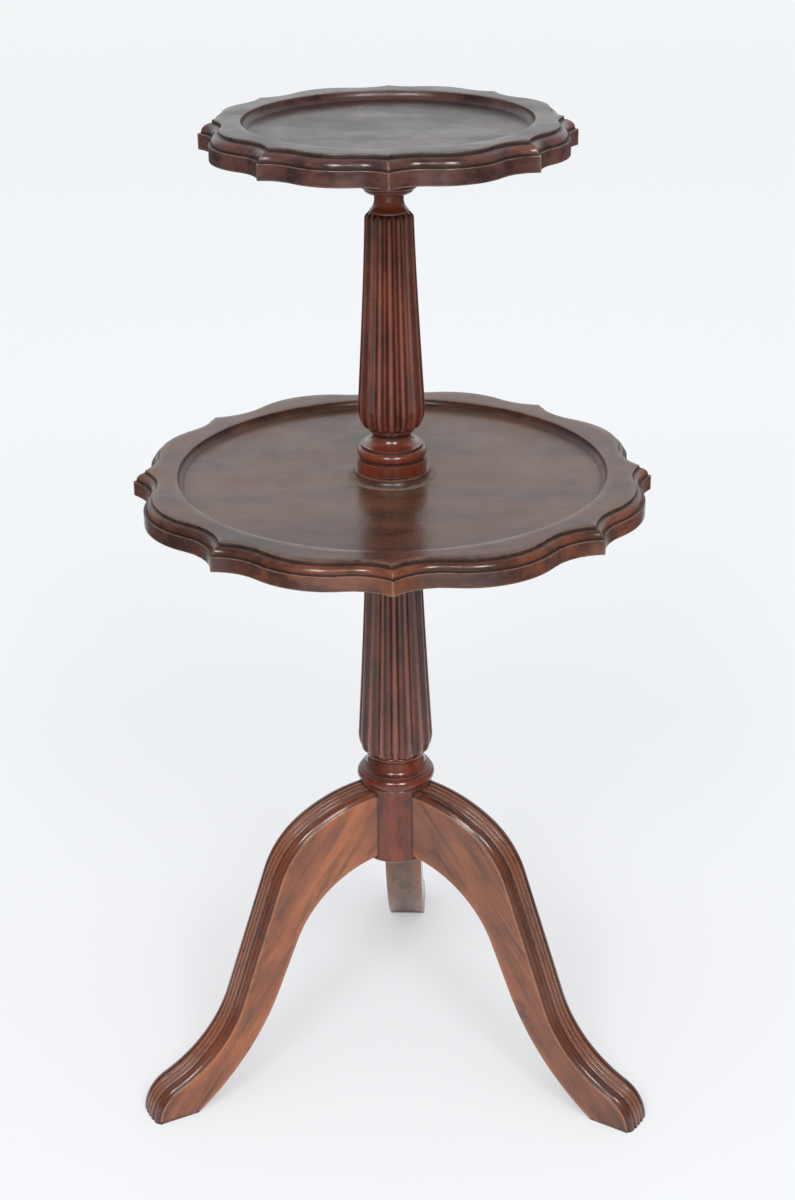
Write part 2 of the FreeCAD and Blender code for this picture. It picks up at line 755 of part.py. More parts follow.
def crown_section(sketch):
    """Across the leg, over its top edge line: an ovolo, three reeds and an ovolo."""
    half = size("leg_thick").value / 2
    rise, ledge, reed = (size(name).value for name in
                         ("crown_height", "crown_fillet", "leg_reed_width"))
    valley = rise - size("leg_reed_rise").value
    inner, outer = CROWN_REEDS / 2 * reed, half - ledge
    shoulder = inner + OVOLO_PLACE * (outer - inner)
    arcs = [((-shoulder, OVOLO_RISE * rise), (-inner, valley))]
    for place in range(CROWN_REEDS):
        left = -inner + place * reed
        arcs.append(((left + reed / 2, rise), (left + reed, valley)))
    arcs.append(((shoulder, OVOLO_RISE * rise), (outer, 0.0)))
    here = FreeCAD.Vector(-outer, 0, 0)
    for crest, end in arcs:
        there = FreeCAD.Vector(end[0], end[1], 0)
        sketch.addGeometry(Part.Arc(here, FreeCAD.Vector(crest[0], crest[1], 0), there))
        here = there
    root = [FreeCAD.Vector(x, y, 0) for x, y in
            ((outer, 0.0), (outer, -ledge), (-outer, -ledge), (-outer, 0.0))]
    for start, end in zip(root, root[1:]):
        sketch.addGeometry(Part.LineSegment(start, end))


def leg(label, degrees):
    """A sawn board with a moulded top face, scribed to the block, and its dovetail."""
    body = new_body(label)
    block, room = size("block_radius"), size("glue_line")
    side = new_sketch(body, label + "_side", "XZ_Plane")
    top_edges, under_edges = top_line(), under_line()
    for edge in top_edges + under_edges:
        side.addGeometry(edge)
    for start, end in ((top_edges[0].StartPoint, under_edges[0].StartPoint),
                       (top_edges[-1].EndPoint, under_edges[-1].EndPoint)):
        side.addGeometry(Part.LineSegment(start, end))
    board = pad(body, label + "_board", side, size("leg_thick"))
    board.SideType = "Symmetric"
    path = new_sketch(body, label + "_top_line", "XZ_Plane")
    for edge in top_edges:
        path.addGeometry(edge)
    section = new_sketch(body, label + "_crown_section", "YZ_Plane")
    start = top_edges[0].StartPoint
    section.AttachmentOffset = FreeCAD.Placement(
        FreeCAD.Vector(0, start.y, start.x),
        FreeCAD.Rotation(FreeCAD.Vector(1, 0, 0), HIP_HEADING))
    crown_section(section)
    crown = body.newObject("PartDesign::AdditivePipe", label + "_crown")
    crown.Profile = section
    crown.Spine = (path, [])
    doc.recompute()
    scribe = new_sketch(body, label + "_scribe_circle", "XY_Plane")
    circles(scribe, [(0.0, 0.0)], block + room)
    pocket_up(body, label + "_scribe", scribe, block_top + size("crown_height") * 4.0)
    tenon = new_sketch(body, label + "_tenon_profile", "XY_Plane", size("block_level"))
    closed_lines(tenon, dovetail(
        FreeCAD.Vector(), (block - size("tenon_depth")).value, (block + room).value,
        size("tenon_back").value / 2, size("tenon_neck").value / 2))
    pad(body, label + "_tenon", tenon, size("tenon_height"))
    body.Placement = FreeCAD.Placement(
        FreeCAD.Vector(), FreeCAD.Rotation(FreeCAD.Vector(0, 0, 1), degrees))
    return body


# ---------------------------------------------------------------- boss, cleats and screws


def tray_boss():
    """Turned disc on the pin of the upper pillar, screwed to the upper tray."""
    body = new_body("tray_boss")
    bore = size("up_spigot_radius") + size("glue_line")
    edge, bevel = size("tray_boss_radius"), size("tray_boss_bevel")
    revolve(body, "boss_turning", [
        (bore, tray_boss_level),
        (edge - bevel, tray_boss_level),
        (edge, tray_boss_level + bevel),
        (edge, up_tray_level),
        (bore, up_tray_level),
    ])
    screw_bores(body, boss_screw_places(), tray_boss_level, size("tray_boss_thick"))
    return body


def screw_bores(body, places, level, thick):
    """Clearance holes with a countersink at the underside."""
    shank = size("screw_shank") + size("glue_line")
    centres = [(x.value, y.value) for x, y in places]
    profile = new_sketch(body, body.Label + "_screw_circles", "XY_Plane", level)
    circles(profile, centres, shank)
    holes = pocket_up(body, body.Label + "_screw_holes", profile, thick)
    doc.recompute()
    mouths = [f"Edge{number}" for number, edge in enumerate(holes.Shape.Edges, start=1)
              if isinstance(edge.Curve, Part.Circle)
              and abs(edge.Curve.Radius - shank.value) < 0.001
              and abs(edge.Curve.Center.z - level.value) < 0.001]
    sink = body.newObject("PartDesign::Chamfer", body.Label + "_countersinks")
    sink.Base = (holes, mouths)
    sink.ChamferType = "Two distances"
    sink.setExpression("Size", size("screw_sink").formula)
    sink.setExpression("Size2", (size("screw_head") - size("screw_shank")).formula)


def cleat(label, side):
    """A batten across the grain of the lower tray, with bevelled lower edges."""
    body = new_body(label)
    across, along = size("cleat_width") * 0.5, size("cleat_length") * 0.5
    bottom = low_tray_level - size("cleat_thick")
    middle_x, middle_y = size("cleat_spread") * side, size("cleat_stagger") * side
    plan = new_sketch(body, label + "_plan", "XY_Plane", bottom)
    outline(plan, [(middle_x - across, middle_y - along), (middle_x + across, middle_y - along),
                   (middle_x + across, middle_y + along), (middle_x - across, middle_y + along)])
    batten = pad(body, label + "_batten", plan, size("cleat_thick"))
    doc.recompute()
    low_edges = [f"Edge{number}" for number, edge in enumerate(batten.Shape.Edges, start=1)
                 if abs(edge.BoundBox.ZMax - bottom.value) < 0.001]
    bevel = body.newObject("PartDesign::Chamfer", label + "_bevel")
    bevel.Base = (batten, low_edges)
    bevel.setExpression("Size", size("cleat_bevel").formula)
    doc.recompute()
    places = [place for place in cleat_screw_places() if place[0].value * side > 0]
    screw_bores(body, places, bottom, size("cleat_thick"))
    return body


def screws(label, places, level):
    """Countersunk screws driven up from a level, as separate solids of one group."""
    group = []
    for number, (x, y) in enumerate(places, start=1):
        head = doc.addObject("Part::Cone", f"{label}_head_{number}")
        head.setExpression("Radius1", size("screw_head").formula)
        head.setExpression("Radius2", size("screw_shank").formula)
        head.setExpression("Height", size("screw_sink").formula)
        shank = doc.addObject("Part::Cylinder", f"{label}_shank_{number}")
        shank.setExpression("Radius", size("screw_shank").formula)
        shank.setExpression("Height", size("screw_length").formula)
        screw = doc.addObject("Part::Fuse", f"{label}_{number}")
        screw.Base, screw.Tool = head, shank
        for axis, place in zip("xyz", (x, y, level)):
            screw.setExpression(f".Placement.Base.{axis}", place.formula)
        group.append(screw)
    compound = doc.addObject("Part::Compound", label)
    compound.Label = label
    compound.Links = group
    return compound


# ---------------------------------------------------------------- build and write

nodes = [
    lower_column(),
    upper_column(),
    lower_tray(),
    upper_tray(),
    leg("leg_rear", REAR_HEADING),
    leg("leg_front_left", REAR_HEADING + 360 / LEGS),
    leg("leg_front_right", REAR_HEADING + 720 / LEGS),
    tray_boss(),
    cleat("cleat_left", -1),
    cleat("cleat_right", 1),
    screws("cleat_screws", cleat_screw_places(), low_tray_level - size("cleat_thick")),
    screws("boss_screws", boss_screw_places(), tray_boss_level),
]
doc.recompute()

for item in doc.Objects:
    if {"Invalid", "Error"} & set(item.State):
        raise RuntimeError(f"{item.Label} failed: {item.State}")
for node in nodes:
    if node.Shape.isNull() or not node.Shape.isValid():
        raise RuntimeError(f"{node.Label} has no valid shape")

os.makedirs("parts", exist_ok=True)
for node in nodes:
    node.Shape.exportStep(f"parts/{node.Label}.step")
    print(node.Label, len(node.Shape.Solids), "solid(s)", round(node.Shape.Volume / 1000), "cm3")
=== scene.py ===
# %% [markdown]
# # A two-tier stand in mahogany
# Two round trays with a scalloped, moulded edge stand on a turned and reeded pillar, and
# three moulded cabriole legs carry it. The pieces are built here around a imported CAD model.
# Its boxes give the levels of the boards and screws, and the sizes of mouldings and curves
# are written below in millimetres. Blender's own unit is the metre. Z is up, the front is
# towards -Y, and the origin is on the floor under the pillar.

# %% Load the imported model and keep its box
import math
from functools import partialmethod

import bmesh
import bpy
import numpy as np
from mathutils import Matrix, Vector


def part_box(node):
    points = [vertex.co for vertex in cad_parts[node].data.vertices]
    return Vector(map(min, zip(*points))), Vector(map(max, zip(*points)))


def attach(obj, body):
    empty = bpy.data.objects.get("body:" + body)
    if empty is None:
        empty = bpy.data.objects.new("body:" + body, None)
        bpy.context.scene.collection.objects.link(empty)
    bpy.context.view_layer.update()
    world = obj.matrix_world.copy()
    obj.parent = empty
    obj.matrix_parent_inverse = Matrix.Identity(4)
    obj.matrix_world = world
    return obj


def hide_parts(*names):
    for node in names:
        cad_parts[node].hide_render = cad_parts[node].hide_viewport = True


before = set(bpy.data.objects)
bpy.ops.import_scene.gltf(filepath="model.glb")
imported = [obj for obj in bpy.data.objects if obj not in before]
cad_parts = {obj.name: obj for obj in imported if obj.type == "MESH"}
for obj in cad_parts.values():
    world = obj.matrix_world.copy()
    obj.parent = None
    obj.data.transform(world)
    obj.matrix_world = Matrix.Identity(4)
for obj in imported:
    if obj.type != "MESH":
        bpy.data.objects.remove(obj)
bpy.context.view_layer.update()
print("CAD nodes:", sorted(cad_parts))

# %% [markdown]
# ## Where the eye stands
# The stand is seen from the front and from above, so that both trays show their floors.
# A camera's matrix holds its right, up and backward directions as columns. Writing those
# three directions down is more exact than aiming with angles, because a small roll is kept.

# %% Make the camera
def in_scene(name, data):
    """A new object, linked to the scene."""
    thing = bpy.data.objects.new(name, data)
    bpy.context.scene.collection.objects.link(thing)
    return thing


right = Vector((0.99994196, -0.00221707, -0.01054313))
up = Vector((0.01052814, 0.40883461, 0.91254776))
forward = Vector((-0.00228722, 0.9126058, -0.40883422))
place = Vector((0.0076884, -1.7334425, 1.2547571))

camera_data = bpy.data.cameras.new("view_from_the_front")
camera_data.sensor_fit = "VERTICAL"
camera_data.sensor_height = 36.0
camera_data.lens = 62.649
camera_data.clip_end = 200.0
camera = in_scene("view_from_the_front", camera_data)
turned_to = Matrix((right, up, -forward)).transposed().to_4x4()
camera.matrix_world = Matrix.Translation(place) @ turned_to
bpy.context.scene.camera = camera
bpy.context.scene.view_settings.view_transform = "Standard"
print("camera looks down by", round(math.degrees(math.asin(-forward.z)), 1), "degrees")

# %% [markdown]
# ## Short ways to build node trees
# Materials and Geometry Nodes are both trees of nodes. A few small helpers keep them
# readable. One adds a node and fills its inputs by name, others mix two colours, make a
# noise or take a vector apart, and one lets a sum be written as a sum, where each sign
# adds a Math node.

# %% Helpers for node trees
def plug(tree, value, socket):
    """Links a socket to a socket, or writes a plain value on it."""
    if isinstance(value, Number):
        value = value.socket
    if isinstance(value, bpy.types.NodeSocket):
        tree.links.new(value, socket)
    else:
        socket.default_value = value


def add(tree, kind, inputs=None, **settings):
    """Adds a node, sets its fields, and fills its inputs by name or by number."""
    node = tree.nodes.new(kind)
    for field, value in settings.items():
        setattr(node, field, value)
    for name, value in (inputs or {}).items():
        plug(tree, value, node.inputs[name])
    return node


def mix(tree, share, first, second, mode="MIX"):
    """Mixes two colours and returns the socket with the result."""
    node = add(tree, "ShaderNodeMix", {0: share, 6: first, 7: second},
               data_type="RGBA", blend_type=mode, clamp_factor=True)
    return node.outputs[2]


class Number:
    """A number that flows through a tree. A sum on it adds a Math node."""

    def __init__(self, tree, socket):
        self.tree, self.socket = tree, socket

    def math(self, sign, *others):
        """The result of a Math node that takes this number first."""
        node = self.tree.nodes.new("ShaderNodeMath")
        node.operation = sign
        for value, socket in zip((self, *others), node.inputs):
            plug(self.tree, value, socket)
        return Number(self.tree, node.outputs[0])

    __add__ = partialmethod(math, "ADD")
    __sub__ = partialmethod(math, "SUBTRACT")
    __mul__ = partialmethod(math, "MULTIPLY")
    __truediv__ = partialmethod(math, "DIVIDE")
    __pow__ = partialmethod(math, "POWER")
    below = partialmethod(math, "LESS_THAN")
    size = partialmethod(math, "ABSOLUTE")
    root = partialmethod(math, "SQRT")
    at_least = partialmethod(math, "MAXIMUM")
    at_most = partialmethod(math, "MINIMUM")

    def rest(self):
        """What this number leaves of 1."""
        return self * -1.0 + 1.0

    def clamped(self):
        """This number, kept between 0 and 1."""
        return self.at_least(0.0).at_most(1.0)

    def rounded(self):
        """A quarter circle: 1 where this number is 0, and 0 where it is 1."""
        return (self * self).rest().root()

    def either(self, choice, other):
        """This number where the choice is 1, and the other where it is 0."""
        return (self - other) * choice + other

    def ramp(self, low, high, start=0.0, end=1.0):
        """A smooth step from start to end while the number goes from low to high."""
        node = add(self.tree, "ShaderNodeMapRange",
                   {"Value": self, "From Min": low, "From Max": high, "To Min": start,
                    "To Max": end}, interpolation_type="SMOOTHSTEP")
        return Number(self.tree, node.outputs["Result"])


SOCKETS = {float: "Float", int: "Int", tuple: "Color"}


def new_group(name, kind, inputs, outputs):
    """A node group. An input is given by its value, or by its sort as an output is. Returns
    the tree, the sockets that bring the inputs and the sockets that take the outputs."""
    tree = bpy.data.node_groups.new(name, kind)
    for label, value in inputs.items():
        sort = SOCKETS.get(type(value), value)
        socket = tree.interface.new_socket(label, in_out="INPUT", socket_type="NodeSocket" + sort)
        if sort is not value:
            socket.default_value = value
    for label, sort in outputs.items():
        tree.interface.new_socket(label, in_out="OUTPUT", socket_type="NodeSocket" + sort)
    enter, leave = tree.nodes.new("NodeGroupInput"), tree.nodes.new("NodeGroupOutput")
    return tree, enter.outputs, leave.inputs


def sRGB(red, green, blue):
    """A colour written as 0 to 255, made linear for a colour socket."""
    shares = [channel / 255 for channel in (red, green, blue)]
    return tuple(s / 12.92 if s <= 0.04045 else ((s + 0.055) / 1.055) ** 2.4
                 for s in shares) + (1.0,)


def noise(tree, vector, scale, **settings):
    """A noise texture, as a number."""
    node = add(tree, "ShaderNodeTexNoise", {"Vector": vector, "Scale": scale, **settings})
    return Number(tree, node.outputs["Fac"])


def parts_of(tree, vector):
    """The X, Y and Z of a vector, as three numbers."""
    node = add(tree, "ShaderNodeSeparateXYZ", {0: vector})
    return [Number(tree, node.outputs[axis]) for axis in "XYZ"]


def empty_tree(owner):
    """The node tree of a material or a world, with nothing in it."""
    owner.use_nodes = True
    owner.node_tree.nodes.clear()
    return owner.node_tree


print("node helpers ready")

# %% [markdown]
# ## Floor, world and lamps
# The stand was made to be seen in a bright room. The floor is one wide, pale sheet that
# reaches past the edge of the view, so it needs no wall. It glows a little for the camera
# alone, which keeps it near white while a soft shadow still shows under the stand. Far
# away it only glows, so it runs into the world behind it without a line. The world does
# the same for the camera. Polish mirrors the room as it really is: a sheet of pale paper
# under and behind the stand, with a darker room at both sides and behind the viewer. That
# contrast is what makes polish look like polish, and reeds stand out from their hollows
# by it. Two soft boxes in front, high up, and a dim strip between them give the highlights
# that run along polished mouldings. A wide sun gives the even light.

# %% Make the floor and the world
PAPER = sRGB(243, 245, 247)

REACH = 30.0
floor_mesh = bpy.data.meshes.new("floor")
floor_mesh.from_pydata([(-REACH, -REACH, 0), (REACH, -REACH, 0), (REACH, REACH, 0),
                        (-REACH, REACH, 0)], [], [(0, 1, 2, 3)])
floor = in_scene("floor", floor_mesh)
paper = bpy.data.materials.new("paper_floor")
tree = empty_tree(paper)
across, depth, _ = parts_of(tree, add(tree, "ShaderNodeTexCoord").outputs["Object"])
aside = across.size()
near_white = mix(tree, depth.ramp(-1.2, 3.0), sRGB(171, 172, 174), sRGB(186, 188, 190))
away = (aside * aside + depth * depth).root().ramp(2.5, 8.0)
diffuse = mix(tree, away, near_white, (0, 0, 0, 1))
matt = add(tree, "ShaderNodeBsdfDiffuse", {"Color": diffuse})
glow = add(tree, "ShaderNodeEmission", {"Color": PAPER, "Strength": away * 0.55 + 0.45})
both = add(tree, "ShaderNodeAddShader", {0: matt.outputs[0], 1: glow.outputs[0]})
seen = add(tree, "ShaderNodeLightPath")
DARKEST = 0.85
beside_paper = aside.ramp(0.55, 1.3, 0.0, DARKEST)
before_paper = depth.ramp(-5.0, -3.4, DARKEST, 0.0)
near_shade = depth.ramp(-0.7, 0.25, 0.3, 0.0) * depth.ramp(-1.9, -1.2)
off_the_paper = beside_paper.at_least(before_paper).at_least(near_shade)
mirrored = mix(tree, off_the_paper * Number(tree, seen.outputs["Is Glossy Ray"]),
               sRGB(232, 234, 236), sRGB(20, 20, 21))
plain = add(tree, "ShaderNodeBsdfDiffuse", {"Color": mirrored})
choose = add(tree, "ShaderNodeMixShader", {0: seen.outputs["Is Camera Ray"],
                                           1: plain.outputs[0], 2: both.outputs[0]})
add(tree, "ShaderNodeOutputMaterial", {"Surface": choose.outputs[0]})
floor.data.materials.append(paper)

world = bpy.data.worlds.new("pale_room")
bpy.context.scene.world = world
tree = empty_tree(world)
seen = add(tree, "ShaderNodeLightPath")
camera_ray = Number(tree, seen.outputs["Is Camera Ray"])
camera_or_gloss = (camera_ray + Number(tree, seen.outputs["Is Glossy Ray"])
                   + Number(tree, seen.outputs["Is Transmission Ray"])).at_most(1.0)
to_right, to_back, to_top = parts_of(tree, add(tree, "ShaderNodeTexCoord").outputs["Generated"])
bright_wall = to_back.ramp(-0.35, 0.3, 0.3, 1.0)
ceiling = to_top.ramp(0.35, 0.8, 1.0, 0.55)
beside = to_right.size().ramp(0.5, 0.9, 1.0, 0.35)
shown = add(tree, "ShaderNodeBackground", {
    "Color": PAPER, "Strength": (bright_wall * ceiling * beside).at_least(camera_ray)})
lighting = add(tree, "ShaderNodeBackground", {
    "Color": (0.98, 0.99, 1.0, 1.0), "Strength": 0.55})
choose = add(tree, "ShaderNodeMixShader", {0: camera_or_gloss, 1: lighting.outputs[0],
                                           2: shown.outputs[0]})
add(tree, "ShaderNodeOutputWorld", {"Surface": choose.outputs[0]})
print("floor and world ready")

# %% Hang the lamps
AIM = Vector((0.0, 0.0, 0.45))


def soft_box(name, turn, distance, height, width, tall, power):
    """An area lamp, turned about the stand from the front, in degrees to the right."""
    data = bpy.data.lights.new(name, "AREA")
    data.shape = "RECTANGLE"
    data.size, data.size_y, data.energy = width, tall, power
    lamp = in_scene(name, data)
    spin = math.radians(turn - 90)
    lamp.location = (distance * math.cos(spin), distance * math.sin(spin), height)
    lamp.rotation_euler = (AIM - lamp.location).to_track_quat("-Z", "Y").to_euler()
    return lamp


def wide_sun(name, energy, degrees, tilt):
    """Even, soft light from above and in front. Polish doesn't mirror it."""
    data = bpy.data.lights.new(name, "SUN")
    data.energy, data.angle = energy, math.radians(degrees)
    lamp = in_scene(name, data)
    lamp.rotation_euler = (math.radians(tilt), 0, 0)
    lamp.visible_glossy = False
    return lamp


SOFT_BOX = dict(distance=3.3, height=3.1, width=0.9, tall=1.2, power=45)
lamps = [
    soft_box("soft_box_left", turn=-20, **SOFT_BOX),
    soft_box("soft_box_right", turn=20, **SOFT_BOX),
    soft_box("dim_strip", turn=0, distance=3.6, height=3.2, width=3.4, tall=0.7, power=26),
    wide_sun("wide_sun", energy=1.3, degrees=80, tilt=28),
]
print("lamps:", [lamp.name for lamp in lamps])

# %% [markdown]
# ## Skins made of rings
# Turned work and the trays are both stacks of rings: a lathe's rings are circles, a
# tray's outer rings follow its scallops. One helper joins any stack of rings into a closed
# skin, and a single point in the stack closes it as a pole. Another measures how sharply
# the skin bends at each point and how level it lies, and keeps that as three attributes.
# Ridges are where hands and cloths wear the polish thin, hollows are where wax and dust
# stay, and a film settles on what is level, so a material that reads them ages the way the
# real piece does. The same attributes also let it paint a sheen on ridges and shade in
# hollows.

# %% Helpers for skins
MM = 0.001


def circle(radius, height, angles):
    """A level ring, with one point at each angle."""
    return np.column_stack([radius * np.cos(angles), radius * np.sin(angles),
                            np.full(len(angles), height)])


def skin(name, rings):
    """A closed mesh through rings of as many points each, from the bottom up, in mm."""
    points, starts = [], []
    for ring in rings:
        ring = np.atleast_2d(np.asarray(ring, float))
        starts.append((sum(len(part) for part in points), len(ring)))
        points.append(ring)
    faces = []
    for (low, low_count), (high, high_count) in zip(starts, starts[1:]):
        count = max(low_count, high_count)
        for step in range(count):
            after = (step + 1) % count
            if low_count == 1:
                faces.append((low, high + after, high + step))
            elif high_count == 1:
                faces.append((low + step, low + after, high))
            else:
                faces.append((low + step, low + after, high + after, high + step))
    mesh = bpy.data.meshes.new(name)
    mesh.from_pydata((np.vstack(points) * MM).tolist(), [], faces)
    return mesh


def smooth(mesh, sharp_degrees=38):
    """Smooth faces, with a hard line where two faces meet at more than an angle."""
    mesh.polygons.foreach_set("use_smooth", [True] * len(mesh.polygons))
    mesh.set_sharp_from_angle(angle=math.radians(sharp_degrees))


def mark_ridges_hollows_flats(mesh, ridge=(150, 900), hollow=(60, 330)):
    """Writes how much each point is a ridge, a hollow or level, which a material turns into wear
    and painted sheen on ridges and wax and painted shade in hollows. A ridge and a hollow
    start and are full at a curvature in 1/m."""
    mesh.update()
    count = len(mesh.vertices)
    points = np.empty(count * 3)
    mesh.vertices.foreach_get("co", points)
    normals = np.empty(count * 3, np.float32)
    mesh.vertex_normals.foreach_get("vector", normals)
    points, normals = points.reshape(-1, 3), normals.reshape(-1, 3)
    ends = np.empty(len(mesh.edges) * 2, np.int32)
    mesh.edges.foreach_get("vertices", ends)
    first, second = ends.reshape(-1, 2).T
    most = {"wear_and_sheen": np.zeros(count), "hollow": np.zeros(count)}
    for here, there in ((first, second), (second, first)):
        away = points[there] - points[here]
        bend = 2 * np.einsum("ij,ij->i", away, normals[here]) / np.maximum(
            np.einsum("ij,ij->i", away, away), 1e-10)
        np.maximum.at(most["wear_and_sheen"], here, -bend)
        np.maximum.at(most["hollow"], here, bend)
    for here, there in ((first, second), (second, first)):
        np.maximum.at(most["hollow"], here, most["hollow"][there] * 0.35)
    most["film"] = normals[:, 2]
    for label, (low, high) in (("wear_and_sheen", ridge), ("hollow", hollow), ("film", (0.86, 0.97))):
        share = np.clip((most[label] - low) / (high - low), 0, 1)
        field = mesh.attributes.new(label, "FLOAT", "POINT")
        field.data.foreach_set("value", (share * share * (3 - 2 * share)).astype(np.float32))


def show(mesh, material, node):
    """Puts a finished mesh in the scene in place of a CAD node, on the stand's one body."""
    piece = in_scene(mesh.name, mesh)
    mesh.materials.clear()
    mesh.materials.append(material)
    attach(piece, "root")
    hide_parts(node)
    print(piece.name, "stands for", node, "with", len(mesh.polygons), "faces")


print("skin helpers ready")

# %% [markdown]
# ## The figure of old mahogany
# Mahogany has long, quiet streaks that follow the grain, darker bands between them, and
# short dark pores. A noise that is squeezed across the grain and stretched along it gives
# all three at different scales. It is made once as a node group, and each piece turns it
# so that the grain runs the way its plank was cut.

# %% Make the figure group
figure, enter, leave = new_group("mahogany_figure", "ShaderNodeTree", {
    "Grain Vector": "Vector",
    "Pale": sRGB(150, 90, 70),
    "Deep": sRGB(90, 45, 35),
    "Streak": sRGB(50, 24, 20),
    "Band Scale": 14.0,
    "Streak Share": 0.35,
    "Mottle Share": 0.4,
    "Dash Share": 0.3,
}, {"Color": "Color", "Pores": "Float", "Height": "Float"})


def grain_noise(length, scale, **settings):
    """Noise stretched along the grain: a small length factor gives long streaks."""
    squeezed = add(figure, "ShaderNodeVectorMath", {
        0: enter["Grain Vector"], 1: (length, 1.0, 1.0)}, operation="MULTIPLY")
    return noise(figure, squeezed.outputs[0], scale, **settings)


band = grain_noise(0.12, enter["Band Scale"], Detail=4.0, Roughness=0.55,
                   Distortion=0.6).ramp(0.32, 0.68)
streak = grain_noise(0.035, 120.0, Detail=6.0, Roughness=0.68).ramp(0.5, 0.7)
line = grain_noise(0.02, 520.0, Detail=2.0).ramp(0.55, 0.72)
pore = grain_noise(0.06, 1300.0, Detail=1.0).ramp(0.62, 0.74)
dash = grain_noise(0.09, 300.0, Detail=4.0, Roughness=0.7).ramp(0.5, 0.64)
cloud = grain_noise(0.5, 46.0, Detail=5.0, Roughness=0.62).ramp(0.42, 0.66)
wood = mix(figure, band, enter["Deep"], enter["Pale"])
wood = mix(figure, cloud * enter["Mottle Share"], wood, enter["Streak"])
wood = mix(figure, streak * enter["Streak Share"], wood, enter["Streak"])
fine = (line * 0.5).at_least(pore * 0.6).at_least(dash * enter["Dash Share"])
wood = mix(figure, fine * enter["Streak Share"], wood, enter["Streak"])
plug(figure, wood, leave["Color"])
plug(figure, pore, leave["Pores"])
plug(figure, (streak + pore) * -0.5, leave["Height"])
print("group:", figure.name, len(figure.nodes), "nodes")

# %% [markdown]
# ## Worn ridges with painted sheen, hollows with wax and painted shade, a film on the flats
# The second shared effect reads attributes. On ridges the stained polish is worn thin and
# the paler wood shows, broken up by a noise so that no edge wears evenly. On the crests of
# reeds and on arrises that paler colour is also a painted sheen. Hollows are the other way
# round: old wax has gone nearly black in them, and the same dark colour is painted shade in
# creases and recesses. Flat tops carry dark wax and over it a thin, patchy film with a few
# specks of dust. Towards the front the film is thinner, which is painted shade that darkens
# the front of the lower tray's top. The moulded face of a leg is darker. A mask comes out
# too, because film, wax and painted shade are duller than polish.

# %% Make the group for wear and painted light
ageing_and_painted_light, enter, leave = new_group("polish_wear_and_painted_light", "ShaderNodeTree", {
    "Color": "Color",
    "Vector": "Vector",
    "Crown Darkening": sRGB(158, 108, 74),
    "Rubbed": sRGB(140, 84, 60),
    "Wax And Shade": sRGB(24, 15, 13),
    "Film": sRGB(66, 56, 52),
    "Rub Share": 0.3,
    "Rub Gaps": 0.85,
    "Grime Share": 0.8,
    "Film Share": 0.3,
    "Wiped Share": 0.0,
    "Wax Share": 0.0,
    "Speck Share": 0.0,
}, {"Color": "Color", "Dull": "Float"})


def attribute(label):
    """An attribute of the mesh, as a number. It is 0 where a mesh hasn't got it."""
    node = add(ageing_and_painted_light, "ShaderNodeAttribute", attribute_name=label)
    return Number(ageing_and_painted_light, node.outputs["Fac"])


spot = enter["Vector"]
uneven = noise(ageing_and_painted_light, spot, 130.0, Detail=5.0, Roughness=0.65)
along_grain = add(ageing_and_painted_light, "ShaderNodeMapping", {"Vector": spot, "Scale": (0.4, 1.0, 1.0)})
cloudy = noise(ageing_and_painted_light, along_grain.outputs[0], 15.0, Detail=4.0, Roughness=0.6)
dust = noise(ageing_and_painted_light, spot, 800.0, Detail=0.0).ramp(0.76, 0.84) * enter["Speck Share"]
gaps = uneven.ramp(0.32, 0.52, 1.0, 0.0) * enter["Rub Gaps"]
# Paler colour on ridges: worn polish, and also a painted sheen along crests and arrises.
rubbed = attribute("wear_and_sheen") * gaps.rest() * enter["Rub Share"]
# Dark colour in hollows: old wax, and also painted shade in creases and recesses.
dark_wax_and_shade = attribute("hollow") * uneven.ramp(0.2, 0.6, 1.0, 0.7) * enter["Grime Share"]
flat = attribute("film")
# The film thins towards the front (-Y): painted shade that makes the front of the lower tray's
# top darker.
front = parts_of(ageing_and_painted_light, spot)[1].ramp(-0.2, 0.0, 1.0, 0.0)
film_left_by_front_shade = (front * enter["Wiped Share"]).rest()
filmy = flat * cloudy.ramp(0.4, 0.56, 0.3, 1.0) * film_left_by_front_shade * enter["Film Share"]
aged_with_painted_light = mix(ageing_and_painted_light, attribute("crown_darkening"), enter["Color"],
           mix(ageing_and_painted_light, 1.0, enter["Color"], enter["Crown Darkening"], "MULTIPLY"))
aged_with_painted_light = mix(ageing_and_painted_light, rubbed, aged_with_painted_light, enter["Rubbed"])
aged_with_painted_light = mix(ageing_and_painted_light, flat * enter["Wax Share"], aged_with_painted_light, enter["Wax And Shade"])
aged_with_painted_light = mix(ageing_and_painted_light, filmy, aged_with_painted_light, enter["Film"])
aged_with_painted_light = mix(ageing_and_painted_light, dark_wax_and_shade, aged_with_painted_light, enter["Wax And Shade"])
aged_with_painted_light = mix(ageing_and_painted_light, dust * flat, aged_with_painted_light, sRGB(150, 140, 132))
plug(ageing_and_painted_light, aged_with_painted_light, leave["Color"])
plug(ageing_and_painted_light, filmy * 0.14 + dark_wax_and_shade * 0.3, leave["Dull"])
print("group:", ageing_and_painted_light.name, len(ageing_and_painted_light.nodes), "nodes")

# %% [markdown]
# ## Dirt by place
# Three more marks depend on where a point is on the stand, so a third group reads Object
# coordinates. Each leg has a rim of dirt at its sole. A ring around the stand's axis is
# dark wax in the joints where the legs meet the pillar, and pale dust round the pillar's
# foot on the lower tray. The sides of the legs also have a few old blots of stain.

